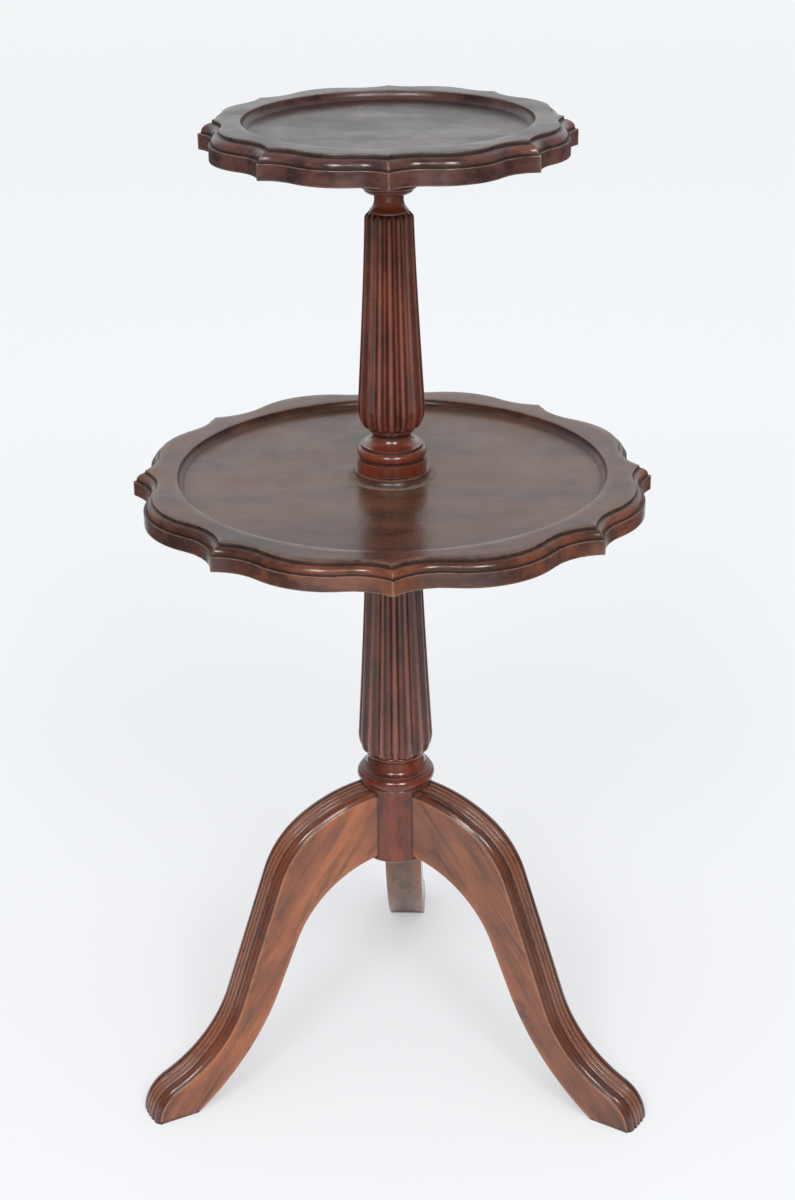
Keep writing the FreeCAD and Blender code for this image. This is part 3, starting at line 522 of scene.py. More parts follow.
# %% Make the dirt group
dirt, enter, leave = new_group("dirt_by_place", "ShaderNodeTree", {
    "Color": "Color",
    "Vector": "Vector",
    "Dirt": sRGB(34, 24, 20),
    "Joint Radius": 0.0335,
    "Sole Height": 0.004,
    "Spot Share": 0.0,
}, {"Color": "Color", "Dirty": "Float"})
spot = enter["Vector"]
x, y, z = parts_of(dirt, spot)
ragged = noise(dirt, spot, 210.0, Detail=5.0, Roughness=0.7)
from_axis = (x * x + y * y).root()
joint = (from_axis - enter["Joint Radius"] + (ragged - 0.5) * 0.004).size().ramp(
    0.0, 0.0035, 1.0, 0.0)
sole = (z + (ragged - 0.5) * 0.012).ramp(0.0, enter["Sole Height"], 1.0, 0.0)
blot = noise(dirt, spot, 30.0, Detail=6.0, Roughness=0.7)
spots = blot.ramp(0.58, 0.68) * enter["Spot Share"]
dirty = (joint.at_least(sole) * 0.85).at_least(spots)
soiled = mix(dirt, dirty, enter["Color"], enter["Dirt"])
plug(dirt, soiled, leave["Color"])
plug(dirt, dirty, leave["Dirty"])
print("group:", dirt.name, len(dirt.nodes), "nodes")


# %% A material from these groups
def group_node(tree, group, links, values):
    """Places a group in a tree, links its inputs, and sets its own values."""
    node = add(tree, "ShaderNodeGroup", node_tree=group)
    for label, socket in links.items():
        plug(tree, socket, node.inputs[label])
    for label, value in values.items():
        node.inputs[label].default_value = value
    return node


def by_name(values):
    """Values under the names of a group's inputs, such as Film Share for film_share."""
    return {label.replace("_", " ").title(): value for label, value in values.items()}


def polished_wood(name, turns, colours, gloss=0.25, shine=0.5, coat=0.0, dirty=False, **values):
    """Old polished mahogany. Each turn is a rotation in degrees that brings the grain one
    step nearer to the texture's X axis. Values are inputs of the groups, by their names."""
    material = bpy.data.materials.new(name)
    tree = empty_tree(material)
    place = add(tree, "ShaderNodeTexCoord").outputs["Object"]
    grain = place
    for turn in turns:
        grain = add(tree, "ShaderNodeMapping", {
            "Vector": grain, "Rotation": [math.radians(angle) for angle in turn]}).outputs[0]
    values = {**by_name(values), **dict(zip(("Pale", "Deep", "Streak"), colours))}

    def known(group):
        names = {item.name for item in group.interface.items_tree if item.in_out == "INPUT"}
        return {label: value for label, value in values.items() if label in names}

    look = group_node(tree, figure, {"Grain Vector": grain}, known(figure))
    age_and_painted_light = group_node(tree, ageing_and_painted_light, {"Color": look.outputs["Color"], "Vector": place},
                     known(ageing_and_painted_light))
    colour = age_and_painted_light.outputs["Color"]
    smear = noise(tree, place, 24.0, Detail=5.0, Roughness=0.6)
    dull = (smear.ramp(0.3, 0.7, gloss - 0.04, gloss + 0.06)
            + Number(tree, age_and_painted_light.outputs["Dull"]) + Number(tree, look.outputs["Pores"]) * 0.1)
    if dirty:
        soiled = group_node(tree, dirt, {"Color": colour, "Vector": place}, known(dirt))
        colour = soiled.outputs["Color"]
        dull = dull + Number(tree, soiled.outputs["Dirty"]) * 0.4
    bump = add(tree, "ShaderNodeBump", {"Height": look.outputs["Height"],
                                        "Distance": 0.00006, "Strength": 1.0})
    shader = add(tree, "ShaderNodeBsdfPrincipled", {
        "Base Color": colour, "Roughness": dull, "Normal": bump.outputs[0],
        "Specular IOR Level": shine, "Coat Weight": coat, "Coat Roughness": 0.09})
    add(tree, "ShaderNodeOutputMaterial", {"Surface": shader.outputs[0]})
    return material


UPPER_TRAY_COLOURS = (sRGB(96, 60, 53), sRGB(60, 40, 38), sRGB(22, 14, 13))
LOWER_TRAY_COLOURS = (sRGB(112, 64, 44), sRGB(60, 35, 27), sRGB(20, 12, 10))
TURNED_COLOURS = (sRGB(122, 55, 31), sRGB(76, 31, 21), sRGB(24, 10, 8))
LEFT_LEG_COLOURS = (sRGB(167, 96, 56), sRGB(126, 71, 43), sRGB(68, 38, 29))
RIGHT_LEG_COLOURS = (sRGB(141, 81, 49), sRGB(103, 59, 37), sRGB(52, 32, 25))
REAR_LEG_COLOURS = (sRGB(128, 87, 66), sRGB(98, 69, 56), sRGB(52, 38, 32))
TRAY_WEAR_AND_LIGHT = dict(gloss=0.2, mottle_share=0.7, film_share=0.78, speck_share=0.3,
                wax_share=0.45, grime_share=0.95, rub_share=0.4, rubbed=sRGB(150, 124, 108))
upper_tray_finish = polished_wood(
    "polished_upper_tray_mahogany", [], UPPER_TRAY_COLOURS, shine=0.56, coat=0.1,
    film=sRGB(30, 24, 20), **TRAY_WEAR_AND_LIGHT)
lower_tray_finish = polished_wood(
    "polished_lower_tray_mahogany", [], LOWER_TRAY_COLOURS, shine=0.55, coat=0.1, dirty=True,
    dirt=sRGB(112, 92, 78), joint_radius=0.0375, film=sRGB(97, 68, 51), wiped_share=0.9,
    **TRAY_WEAR_AND_LIGHT)
turned_finish = polished_wood(
    "polished_turned_mahogany", [(0, 90, 0)], TURNED_COLOURS, gloss=0.2, coat=0.5,
    mottle_share=0.6, rub_share=0.38, rub_gaps=0.6, rubbed=sRGB(136, 94, 82),
    grime_share=0.95)
print("materials:", [m.name for m in (upper_tray_finish, lower_tray_finish, turned_finish)])

# %% [markdown]
# ## The trays
# A tray is one wide board. Its outline has eight lobes that meet in points, with a small
# hollow curve at each side of every point. A maker would saw it to a template and run the
# mouldings with one cutter, so every line of the edge lies at an even distance from the
# outline. The same rule draws it here: each ring keeps the template's centres and changes
# its radii. The floor is turned away with a hollow up to the rim. The small steps of
# a fraction of a millimetre ease every arris, because no real edge is sharp.

# %% The scalloped outline
TIPS, POINT_SHIFT = 8, 5
NEAR_A_POINT = np.array([0.0, 0.018, 0.06, 0.14, 0.26, 0.42, 0.6, 0.8])
LOBE_STEPS = 26


def crossing(centre_a, radius_a, centre_b, radius_b, pick=max):
    """Where two circles cross: the outer of the two places, or the inner with pick=min."""
    span = centre_b - centre_a
    length = np.hypot(*span)
    along = (length ** 2 + radius_a ** 2 - radius_b ** 2) / (2 * length)
    aside = math.sqrt(max(radius_a ** 2 - along ** 2, 0.0))
    unit = span / length
    square = np.array([-unit[1], unit[0]])
    return pick((centre_a + unit * along + square * way for way in (aside, -aside)),
                key=lambda spot: np.hypot(*spot))


def compass(centre, start, end, shares):
    """Points on the short arc from start to end about a centre."""
    first = math.atan2(*(start - centre)[::-1])
    sweep = (math.atan2(*(end - centre)[::-1]) - first + math.pi) % (2 * math.pi) - math.pi
    turn = first + sweep * np.asarray(shares)
    return centre + np.hypot(*(start - centre)) * np.stack([np.cos(turn), np.sin(turn)], 1)


def scallops(tip, crest, lobe, cove, outset):
    """One ring of a tray's edge, an even distance outside the rim's own outline."""
    angles = [math.radians(270 + 360 / TIPS * k + POINT_SHIFT * (k % 2)) for k in range(TIPS)]
    sides = []
    for start, end in zip(angles, angles[1:] + [angles[0] + 2 * math.pi]):
        middle = (crest - lobe) * np.array([math.cos((start + end) / 2),
                                            math.sin((start + end) / 2)])
        coves = [crossing(middle, lobe + cove, tip * np.array([math.cos(a), math.sin(a)]), cove)
                 for a in (start, end)]
        sides.append((middle, *coves))
    ring = []
    for k, (middle, rising, falling) in enumerate(sides):
        point = crossing(sides[k - 1][2], cove - outset, rising, cove - outset, pick=min)
        following = crossing(falling, cove - outset, sides[(k + 1) % TIPS][1], cove - outset,
                             pick=min)
        rise, fall = (middle + (side - middle) / (lobe + cove) * (lobe + outset)
                      for side in (rising, falling))
        ring.append(compass(rising, point, rise, NEAR_A_POINT))
        ring.append(compass(middle, rise, fall, np.arange(LOBE_STEPS) / LOBE_STEPS))
        ring.append(compass(falling, fall, following, [0.0, *(1 - NEAR_A_POINT[:0:-1])]))
    ring = np.vstack(ring)
    before, after = np.roll(ring, 1, 0), np.roll(ring, -1, 0)
    per_side = len(ring) // TIPS
    ring[::per_side] = (ring * 0.4 + (before + after) * 0.3)[::per_side]
    return ring


print("outline points:", len(scallops(219, 219, 75, 60, 0)))


# %% Stack a tray
RIM_HIGH, STEP, TRAY_LEDGE, DISH_COVE, ARRIS = 2.8, 1.0, 2.0, 6.5, 0.5


def quarter(centre, radius, steps=9):
    """Points (across, up) on a quarter circle, from its outer end up to its top."""
    turn = np.radians(np.linspace(0, 90, steps + 1))
    return [(centre[0] + radius * math.cos(t), centre[1] + radius * math.sin(t)) for t in turn]


def tray_side(level, top, bead):
    """The moulded edge from the underside up to the rim, as (outset, height)."""
    shelf = top - RIM_HIGH - bead - STEP
    edge = bead + TRAY_LEDGE
    side = [(edge - 0.8, level), (edge - 0.25, level + 0.2), (edge, level + 0.8),
            (edge, level + 1.6), (edge, level + 4), (edge, shelf - 2.5),
            (edge, shelf - 1.0), (edge, shelf - ARRIS), (edge - 0.15, shelf - 0.15),
            (edge - ARRIS, shelf), (bead + 0.25, shelf), (bead, shelf + 0.2),
            (bead, shelf + STEP)]
    side += quarter((0.0, shelf + STEP), bead)[1:-1]
    return side + [(0.25, top - RIM_HIGH), (0.0, top - RIM_HIGH + 0.2), (0.0, top - ARRIS),
                   (-0.15, top - 0.15), (-ARRIS, top)]


def tray(node, sizes, bead, dish, depth, boss=None):
    """Rings from the middle of the underside, out over the edge and back along the floor."""
    level, top = (round(corner[2] / MM, 3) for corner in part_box(node))
    floor_level = top - depth
    side = tray_side(level, top, bead)

    def outline(outset, height):
        flat = scallops(*sizes, outset)
        return np.column_stack([flat, np.full(len(flat), height)])

    under = outline(*side[0])
    angles = np.arctan2(under[:, 1], under[:, 0])

    def hollow(radius, way, turns):
        """The quarter hollow beside the floor, where it meets a wall of a radius."""
        return [circle(radius + way * DISH_COVE * (1 - math.cos(turn)),
                       top - depth * math.sin(turn), angles) for turn in np.radians(turns)]

    rings = [(0.0, 0.0, level)]
    rings += [circle(dish * share, level, angles) for share in (0.3, 0.6, 0.9)]
    rings += [outline(outset, height) for outset, height in side]
    rim, lip = outline(-ARRIS, top), circle(dish + ARRIS, top, angles)
    rings += [rim * (1 - share) + lip * share for share in (0.25, 0.5, 0.75, 1.0)]
    rings += [circle(dish + 0.12, top - 0.12, angles), circle(dish, top - ARRIS, angles)]
    rings += hollow(dish, -1, np.linspace(12, 90, 8))
    inner = (boss + DISH_COVE) if boss else 0.0
    rings += [circle((dish - DISH_COVE) * (1 - share) + inner * share, floor_level, angles)
              for share in (0.06, 0.18, 0.36, 0.54, 0.72, 0.88)]
    if boss:
        rings += hollow(boss, 1, np.linspace(90, 0, 7)) + [circle(boss - 6, top, angles)]
    rings.append((0.0, 0.0, top if boss else floor_level))
    mesh = skin(node + "_board", rings)
    smooth(mesh)
    # The dish's cove counts as a hollow from a lower curvature, so its dark wax colour is also
    # painted shade on the cove.
    mark_ridges_hollows_flats(mesh, hollow=(40, 230))
    return mesh


LOWER = dict(sizes=(219, 219, 75, 60), bead=6.2, dish=189.5, depth=7.0, boss=32.5)
UPPER = dict(sizes=(145.5, 145.3, 49, 43), bead=7.2, dish=121.5, depth=7.8)
for node, finish, shape in (("lower_tray", lower_tray_finish, LOWER),
                            ("upper_tray", upper_tray_finish, UPPER)):
    show(tray(node, **shape), finish, node)

# %% [markdown]
# ## Turned work
# The foot block, the rings under and over each shaft and the seats of the trays are cut
# on a lathe. A lathe piece is a profile turned once round, so it is written as nodes of
# radius and height, with a bulge where an arc leads to a node. Sharp arrises are eased a
# little, because a real edge always catches a thread of light.

# %% Turn a profile
ROUND, ARC_STEPS, EASE, SHARP = 128, 14, 0.35, math.radians(24)


def arc_points(start, end, bulge):
    """Points on an arc after its start. The bulge is its height over its chord."""
    (r0, z0), (r1, z1) = start, end
    chord = math.hypot(r1 - r0, z1 - z0)
    rise = bulge * chord
    radius = (chord * chord / 4 + rise * rise) / (2 * rise)
    half = math.asin(chord / 2 / radius)
    out = ((z1 - z0) / chord, (r0 - r1) / chord)
    centre = [(a + b) / 2 + way * (rise - radius) for a, b, way in zip(start, end, out)]
    first = math.atan2(z0 - centre[1], r0 - centre[0])
    turns = [first + 2 * half * step / ARC_STEPS for step in range(1, ARC_STEPS + 1)]
    return [(centre[0] + abs(radius) * math.cos(turn), centre[1] + abs(radius) * math.sin(turn))
            for turn in turns]


def straight_points(start, end):
    """The end of a straight, and a point near each end if it is long."""
    run = math.hypot(end[0] - start[0], end[1] - start[1])
    shares = [1.0 / run, 1 - 1.0 / run] if run > 4 else []
    return [tuple(a + (b - a) * share for a, b in zip(start, end)) for share in shares] + [end]


def eased(before, here, after):
    """Three points in place of a sharp corner, or the corner itself if it is blunt."""
    back, ahead = Vector(before) - Vector(here), Vector(after) - Vector(here)
    if math.pi - back.angle(ahead) <= SHARP:
        return [here]
    cut = min(EASE, back.length * 0.4, ahead.length * 0.4)
    first = Vector(here) + back.normalized() * cut
    last = Vector(here) + ahead.normalized() * cut
    crown = (first + last) * 0.25 + Vector(here) * 0.5
    return [tuple(first), tuple(crown), tuple(last)]


def profile(nodes):
    """Points along a profile. A node's third entry is the bulge of the arc that leads to it."""
    points = [nodes[0]]
    for before, node in zip(nodes, nodes[1:]):
        way = arc_points if node[2:] else straight_points
        points += way(before[:2], node[:2], *node[2:])
    soft = [points[0]]
    for corner in zip(points, points[1:], points[2:]):
        soft += eased(*corner)
    return soft + [points[-1]]


def turned(name, nodes):
    """The skin of a lathe piece, closed at the axis at both ends."""
    angles = np.linspace(0, 2 * math.pi, ROUND, endpoint=False)
    rings = [(0.0, 0.0, nodes[0][1])]
    rings += [circle(radius, height, angles) for radius, height in profile(nodes)]
    rings.append((0.0, 0.0, nodes[-1][1]))
    mesh = skin(name, rings)
    smooth(mesh)
    mark_ridges_hollows_flats(mesh)
    return mesh


# %% The pillar's two turnings
SHOULDER, COLLAR_HIGH, FILLET_HIGH, RING_IN = 6.3, 1.8, 2.0, 3.1


def shaft_top(end, collar, flare, neck, neck_high, bead, bead_high, fillet, seat, seat_high):
    """Thin collar, hollow flare, neck, big bead, fillet and seat over a shaft's shoulder."""
    level = end + SHOULDER
    nodes = [(collar - 1.5, level), (collar, level), (collar, level + COLLAR_HIGH),
             (neck, level + COLLAR_HIGH + flare, -0.118)]
    level += COLLAR_HIGH + flare + neck_high
    ring = bead - RING_IN
    nodes += [(neck, level), (neck + 0.9, level + 2.0, -0.12), (neck + 2.2, level + 2.6),
              (ring, level + 0.3 * bead_high, 0.24), (ring, level + 0.34 * bead_high),
              (bead - 1.2, level + 0.38 * bead_high), (bead, level + 0.52 * bead_high, 0.2),
              (fillet + 1, level + bead_high, 0.2)]
    level += bead_high
    seat_level = level + FILLET_HIGH
    return nodes + [(fillet, level), (fillet, seat_level), (seat - 1, seat_level),
                    (seat, seat_level + 1), (seat, seat_level + seat_high),
                    (neck * 0.7, seat_level + seat_high)]


lower_profile = [
    (4.5, 211.5), (9, 216, 0.207), (9, 220.5), (32.5, 220.5), (33.5, 221.5), (33.5, 296.4),
    (32.8, 297), (32.8, 308.5, 0.3), (32.2, 308.5), (32.2, 310.5),
    (27.2, 316.2, -0.14), (24.4, 321.8), (24.4, 322.5), (26.0, 322.7),
    (26.0, 328, 0.3), (18.0, 328),
] + shaft_top(end=536, collar=20, flare=5.4, neck=15.5, neck_high=3.0, bead=28.5,
              bead_high=20.5, fillet=21, seat=34, seat_high=8)
upper_profile = [
    (11, 606.5), (30, 606.5), (31, 607.5), (31, 618), (29, 618), (29, 618.8), (28.04, 618.8),
    (28.04, 628, 0.3), (27.3, 628), (27.3, 630.8), (16.6, 639.2, -0.207), (16.6, 642.2),
    (19.21, 642.2), (19.21, 646.5, 0.3), (14.0, 646.5),
] + shaft_top(end=829.5, collar=16.6, flare=9.6, neck=12.6, neck_high=2.8, bead=24.5,
              bead_high=18, fillet=17.5, seat=27, seat_high=7.5)
for section, nodes in (("lower", lower_profile), ("upper", upper_profile)):
    show(turned(section + "_pillar_turning", nodes), turned_finish, section + "_column")

# %% [markdown]
# ## Reeded shafts
# Sixteen rounded reeds run up each shaft with hollows between them, and they swell and
# taper with it. That is a rule, so Geometry Nodes make the whole shaft from a plain
# cylinder: every point finds its reed by its angle and its radius by its height. Each
# reed takes eight of the fourteen columns of points, so the line between a reed and its
# hollow stays clean. A carver's eye isn't a machine, and a seeded number makes some
# reeds a little wider than others.

# %% The reeded shaft tree
REEDS, REED_COLUMNS, COLUMNS, ROWS = 16, 8, 14, 140
DOME_START, DOME_LONG, HOLLOW_END, FOOT_EDGE = 0.0018, 0.0036, 0.0062, 0.001


def numbers_in(tree, enter):
    """The number inputs of a tree, by their names."""
    return {socket.name: Number(tree, socket) for socket in enter if socket.type == "VALUE"}


def send_out(tree, geometry, enter, leave):
    """Ends a tree: what it made becomes real geometry with the material on it."""
    placed = add(tree, "GeometryNodeRealizeInstances", {0: geometry})
    coloured = add(tree, "GeometryNodeSetMaterial", {
        "Geometry": placed.outputs[0], "Material": enter["Material"]})
    plug(tree, coloured.outputs[0], leave[0])
    print("tree:", tree.name, len(tree.nodes), "nodes")


reeding, enter, leave = new_group("reeded_shaft", "GeometryNodeTree", {
    "Geometry": "Geometry", "Level": 0.0, "Length": 0.2, "Foot Radius": 0.029,
    "Belly Radius": 0.0345, "Belly Height": 0.015, "Top Radius": 0.025,
    "Collar Radius": 0.02, "Shoulder Height": 0.0063, "Reed Share": 0.5,
    "Reed Rise": 0.00125, "Hollow Depth": 0.24, "Scoop": 0.0045, "Unevenness": 0.06,
    "Seed": 3, "Material": "Material",
}, {"Geometry": "Geometry"})
given = numbers_in(reeding, enter)
blank = add(reeding, "GeometryNodeMeshCylinder", {
    "Vertices": REEDS * COLUMNS, "Side Segments": ROWS, "Radius": 1.0, "Depth": 1.0},
    fill_type="TRIANGLE_FAN")
x, y, z = parts_of(reeding, add(reeding, "GeometryNodeInputPosition").outputs[0])
inside = (x * x + y * y).below(0.25)
turn = y.math("ARCTAN2", x)
height = (z + 0.5) * (given["Length"] + given["Shoulder Height"])
low_rest = (height / given["Belly Height"]).rest().at_least(0.0)
low_part = (given["Belly Radius"] - (given["Belly Radius"] - given["Foot Radius"])
            * (low_rest * low_rest).rest().at_least(0.0).root().rest())
climb = (height - given["Belly Height"]) / (given["Length"] - given["Belly Height"])
high_part = (given["Top Radius"] + (given["Belly Radius"] - given["Top Radius"])
             * climb.rest().clamped() ** 1.2)
crest = low_part.either(height.below(given["Belly Height"]), high_part)
over = ((height - given["Length"]) / given["Shoulder Height"]).clamped()
edge = (given["Collar Radius"]
        + (crest - given["Reed Rise"] - given["Collar Radius"]) * over.rounded())

pitch = 2 * math.pi / REEDS
count = turn / pitch + 0.5
reed_number = count.math("FLOOR")
inner = count - reed_number - 0.5
wobble = add(reeding, "FunctionNodeRandomValue", {"Min": -1.0, "Max": 1.0,
             "ID": reed_number.math("MODULO", float(REEDS)), "Seed": enter["Seed"]})
wobble = Number(reeding, [s for s in wobble.outputs if s.type == "VALUE"][0])
dome = ((height - given["Length"] - DOME_START) / DOME_LONG).clamped().rounded()
mouth = ((given["Scoop"] - height) / (given["Scoop"] - FOOT_EDGE)).clamped().rounded()
share = given["Reed Share"] * (wobble * given["Unevenness"] + 1.0)
share = ((share - 1.0) * mouth + 1.0) * (dome * 0.98 + 0.02)
band = REED_COLUMNS / COLUMNS / 2
on_reed = inner.size().below(band + 1e-4)
across_reed = inner / band
across_hollow = (inner.size() - band) / (0.5 - band)
sign = inner.math("SIGN")
angle = (across_reed * share * 0.5).either(
    on_reed, sign * (share * 0.5 + across_hollow * (share * -0.5 + 0.5)))
near_end = (height - FOOT_EDGE).at_most((given["Length"] + HOLLOW_END - height) * 2.5)
depth = near_end.ramp(0.0, given["Scoop"], 0.0, 1.0)
hollow_deep = given["Hollow Depth"] * share.rest() * pitch * edge * depth
hollow_curve = (across_hollow.rest() ** 2.0).rest()
rise = (given["Reed Rise"] * dome * (across_reed * across_reed).rest()).either(
    on_reed, hollow_deep * hollow_curve * -1.0)
radius = (edge + rise).either(inside.rest(), x * 0.0)
final_turn = (reed_number + angle) * pitch
moved = add(reeding, "ShaderNodeCombineXYZ", {
    "X": radius * final_turn.math("COSINE"), "Y": radius * final_turn.math("SINE"),
    "Z": height + given["Level"]})
# Paler crests: worn polish, and also a painted sheen along each reed.
crest_wear_and_sheen = across_reed.size().ramp(0.25, 0.8, 1.0, 0.0) * on_reed * dome
# Dark lines at each reed's foot and beside each hollow, and a dark band from the reed tops up to
# the collar: painted shade in the creases and under the collar, with some wax.
reed_foot = across_reed.size().ramp(0.55, 1.0) * on_reed
hollow_side = (across_hollow.ramp(0.0, 0.75, 1.0, 0.0) * on_reed.rest()).at_least(
    (height - given["Length"]).ramp(0.0035, 0.0058))
marked = blank
for label, value in (("wear_and_sheen", crest_wear_and_sheen), ("hollow", reed_foot + hollow_side)):
    marked = add(reeding, "GeometryNodeStoreNamedAttribute", {
        "Geometry": marked.outputs[0], "Name": label, "Value": value}, data_type="FLOAT")
shaped = add(reeding, "GeometryNodeSetPosition", {"Geometry": marked.outputs[0],
                                                  "Position": moved.outputs[0]})
send_out(reeding, shaped.outputs[0], enter, leave)


# %% Bake the tree into both shafts
def baked(name, tree, start_mesh, values):
    """Runs a Geometry Nodes tree on a mesh and returns the result as a plain mesh."""
    helper = in_scene(name + "_nodes", start_mesh)
    modifier = helper.modifiers.new(name, "NODES")
    modifier.node_group = tree
    sockets = {item.name: item.identifier for item in tree.interface.items_tree
               if item.item_type == "SOCKET" and item.in_out == "INPUT"}
    for label, value in values.items():
        modifier[sockets[label]] = value
    bpy.context.view_layer.update()
    finished = helper.evaluated_get(bpy.context.evaluated_depsgraph_get())
    mesh = bpy.data.meshes.new_from_object(finished)
    mesh.name = name
    helper.modifiers.remove(modifier)
    bpy.data.objects.remove(helper)
    return mesh


def in_metres(**lengths):
    """Lengths in millimetres, made ready for the inputs of a tree."""
    return by_name({label: length * MM for label, length in lengths.items()})


BOTH_SHAFTS = {**in_metres(shoulder_height=SHOULDER, reed_rise=1.6, scoop=5.5),
               "Hollow Depth": 0.32, "Unevenness": 0.16, "Material": turned_finish}
SHAFTS = (
    ("lower", 0.44, 4, in_metres(level=328, length=208, foot_radius=29, belly_radius=34.5,
                                 belly_height=15, top_radius=25, collar_radius=20)),
    ("upper", 0.52, 9, in_metres(level=646.5, length=183, foot_radius=23, belly_radius=29.4,
                                 belly_height=18, top_radius=21, collar_radius=16.6)),
)
for section, reed_share, seed, lengths in SHAFTS:
    reeds = baked(section + "_pillar_reeds", reeding, bpy.data.meshes.new("blank"), {
        **BOTH_SHAFTS, **lengths, "Reed Share": reed_share, "Seed": seed})
    smooth(reeds, 50)
    show(reeds, turned_finish, section + "_column")

# %% [markdown]
# ## Cabriole legs
# Each leg is sawn from a thick board along two flowing lines, one over the knee and one
# under it, and its top face is moulded with three reeds between two rounded edges. The
# lines are walked like a surveyor's path: a straight, or an arc to a new heading. The
# skin is then a row of cross-sections, from the block down to the floor. The reeds run
# out a little lower at the toes, where shoes have worn them.

# %% Walk the two lines of a leg
def walk(start, heading, steps, spacing=1.5):
    """Points (out, up, heading) along tangent arcs and straights, headings below level."""
    here, path = np.array(start, float), [(start[0], start[1], heading)]
    for reach, target in steps:
        if target is None:
            turns = np.full(max(2, int(reach / spacing)), heading)
            stride = reach / len(turns)
        else:
            count = max(4, int(reach * math.radians(abs(target - heading)) / spacing))
            bends = np.linspace(heading, target, count + 1)
            turns = (bends[:-1] + bends[1:]) / 2
            bend = math.radians(abs(target - heading)) / count
            stride = 2 * reach * math.sin(bend / 2)
        for row, turn in enumerate(turns):
            here = here + stride * np.array([math.cos(math.radians(turn)),
                                             -math.sin(math.radians(turn))])
            heading = turn if target is None else bends[row + 1]
            path.append((here[0], here[1], heading))
    return np.array(path)


def lost(radius, heading, target):
    """Height that an arc gives up from one heading to another."""
    return radius * abs(math.cos(math.radians(heading)) - math.cos(math.radians(target)))


INSET, BLOCK, TOE_HIGH = 14.0, 33.5, 31
TOP_HEADING, UNDER_HEADING = 5, 11


def leg_line(start, end, heading, knee, ankle, toe=()):
    """From inside the block along the knee's arcs, a straight and the ankle's arc. The
    straight takes up the height that the arcs leave over."""
    fall, here = start - end, heading
    for radius, target in (*knee, ankle):
        fall -= lost(radius, here, target)
        here = target
    slope, steepest = math.radians(heading), math.radians(knee[-1][1])
    return walk((BLOCK - INSET, start + INSET * math.tan(slope)), heading, [
        (INSET / math.cos(slope), None), *knee, (fall / math.sin(steepest), None), ankle,
        *toe])


top_line = leg_line(289.9, TOE_HIGH, TOP_HEADING, [(139, 30.3), (88, 70.2)], (131, 23.8),
                    toe=[(TOE_HIGH / math.cos(math.radians(23.8)), 90.0)])
under_line = leg_line(225.8, 0, UNDER_HEADING, [(112, 67.1)], (263, 35.4))
print("toe at", top_line[-1].round(2), "heel at", under_line[-1].round(2))


# %% Sections of a leg
def through(start, crown, end, steps):
    """Points on the arc through three points, without its last point."""
    (ax, ay), (bx, by), (cx, cy) = start, crown, end
    spread = 2 * (ax * (by - cy) + bx * (cy - ay) + cx * (ay - by))
    a, b, c = ax * ax + ay * ay, bx * bx + by * by, cx * cx + cy * cy
    centre = np.array([(a * (by - cy) + b * (cy - ay) + c * (ay - by)) / spread,
                       (a * (cx - bx) + b * (ax - cx) + c * (bx - ax)) / spread])
    return list(compass(centre, np.array(start, float), np.array(end, float),
                        np.arange(steps) / steps))


HALF = 18.5
RISE, LEDGE, REED, SOFT, GROOVE = 5.2, 1.6, 5.6, 0.7, 1.7


def crown_points():
    """The moulded face from left to right, as (across, above the top line)."""
    valley, inner, outer = RISE - GROOVE, 1.5 * REED, HALF - LEDGE
    shoulder = inner + 0.35 * (outer - inner)
    arris = [(HALF, -2.0), (HALF - 0.1, -1.2), (HALF - 0.45, -0.45), (HALF - 1.0, 0.15)]
    points = [(-across, above) for across, above in arris]
    points += through((-outer, 0.6), (-shoulder, 0.8 * RISE), (-inner, valley), 8)
    for k in range(3):
        left = -inner + k * REED
        points += through((left, valley), (left + REED / 2, RISE), (left + REED, valley), 8)
    points += through((inner, valley), (shoulder, 0.8 * RISE), (outer, 0.6), 8)
    return np.array(points + [(outer, 0.6)] + arris[::-1])


def along(line, share):
    """Point and heading at a share of a line's length."""
    steps = np.hypot(*np.diff(line[:, :2], axis=0).T)
    length = np.concatenate([[0], np.cumsum(steps)])
    return np.array([np.interp(share * length[-1], length, line[:, k]) for k in range(3)])


SIDE_STEPS, UNDER_HALF, MIRROR = 8, 6.0, np.array([1, -1, 1])
crown = crown_points()


def leg_loop(top, under, left=1.0):
    """One closed section of a leg, as (out, across, up), with a share of its reeds left."""
    (top_out, top_up, top_heading), (low_out, low_up, low_heading) = top, under
    lean, tilt = math.radians(top_heading), math.radians(low_heading)
    loop = [(top_out + math.sin(lean) * above * left, across,
             top_up + math.cos(lean) * above * left) for across, above in crown]
    right_top = np.array(loop[-1])
    low = [np.array([low_out + math.sin(tilt) * inset, across, low_up + math.cos(tilt) * inset])
           for across, inset in ((HALF, SOFT), (HALF - 0.2, 0.2), (HALF - SOFT, 0.0))]
    side = [right_top + (low[0] - right_top) * k / SIDE_STEPS for k in range(1, SIDE_STEPS)]
    side += low + [np.array([low[2][0], UNDER_HALF, low[2][2]])]
    return np.array(loop + side + [point * MIRROR for point in reversed(side)])


OVER_HEEL, CLEAR, LONG_STEPS, TOE_STEPS, WORN = (22, 40), BLOCK + 2, 90, 27, 0.14


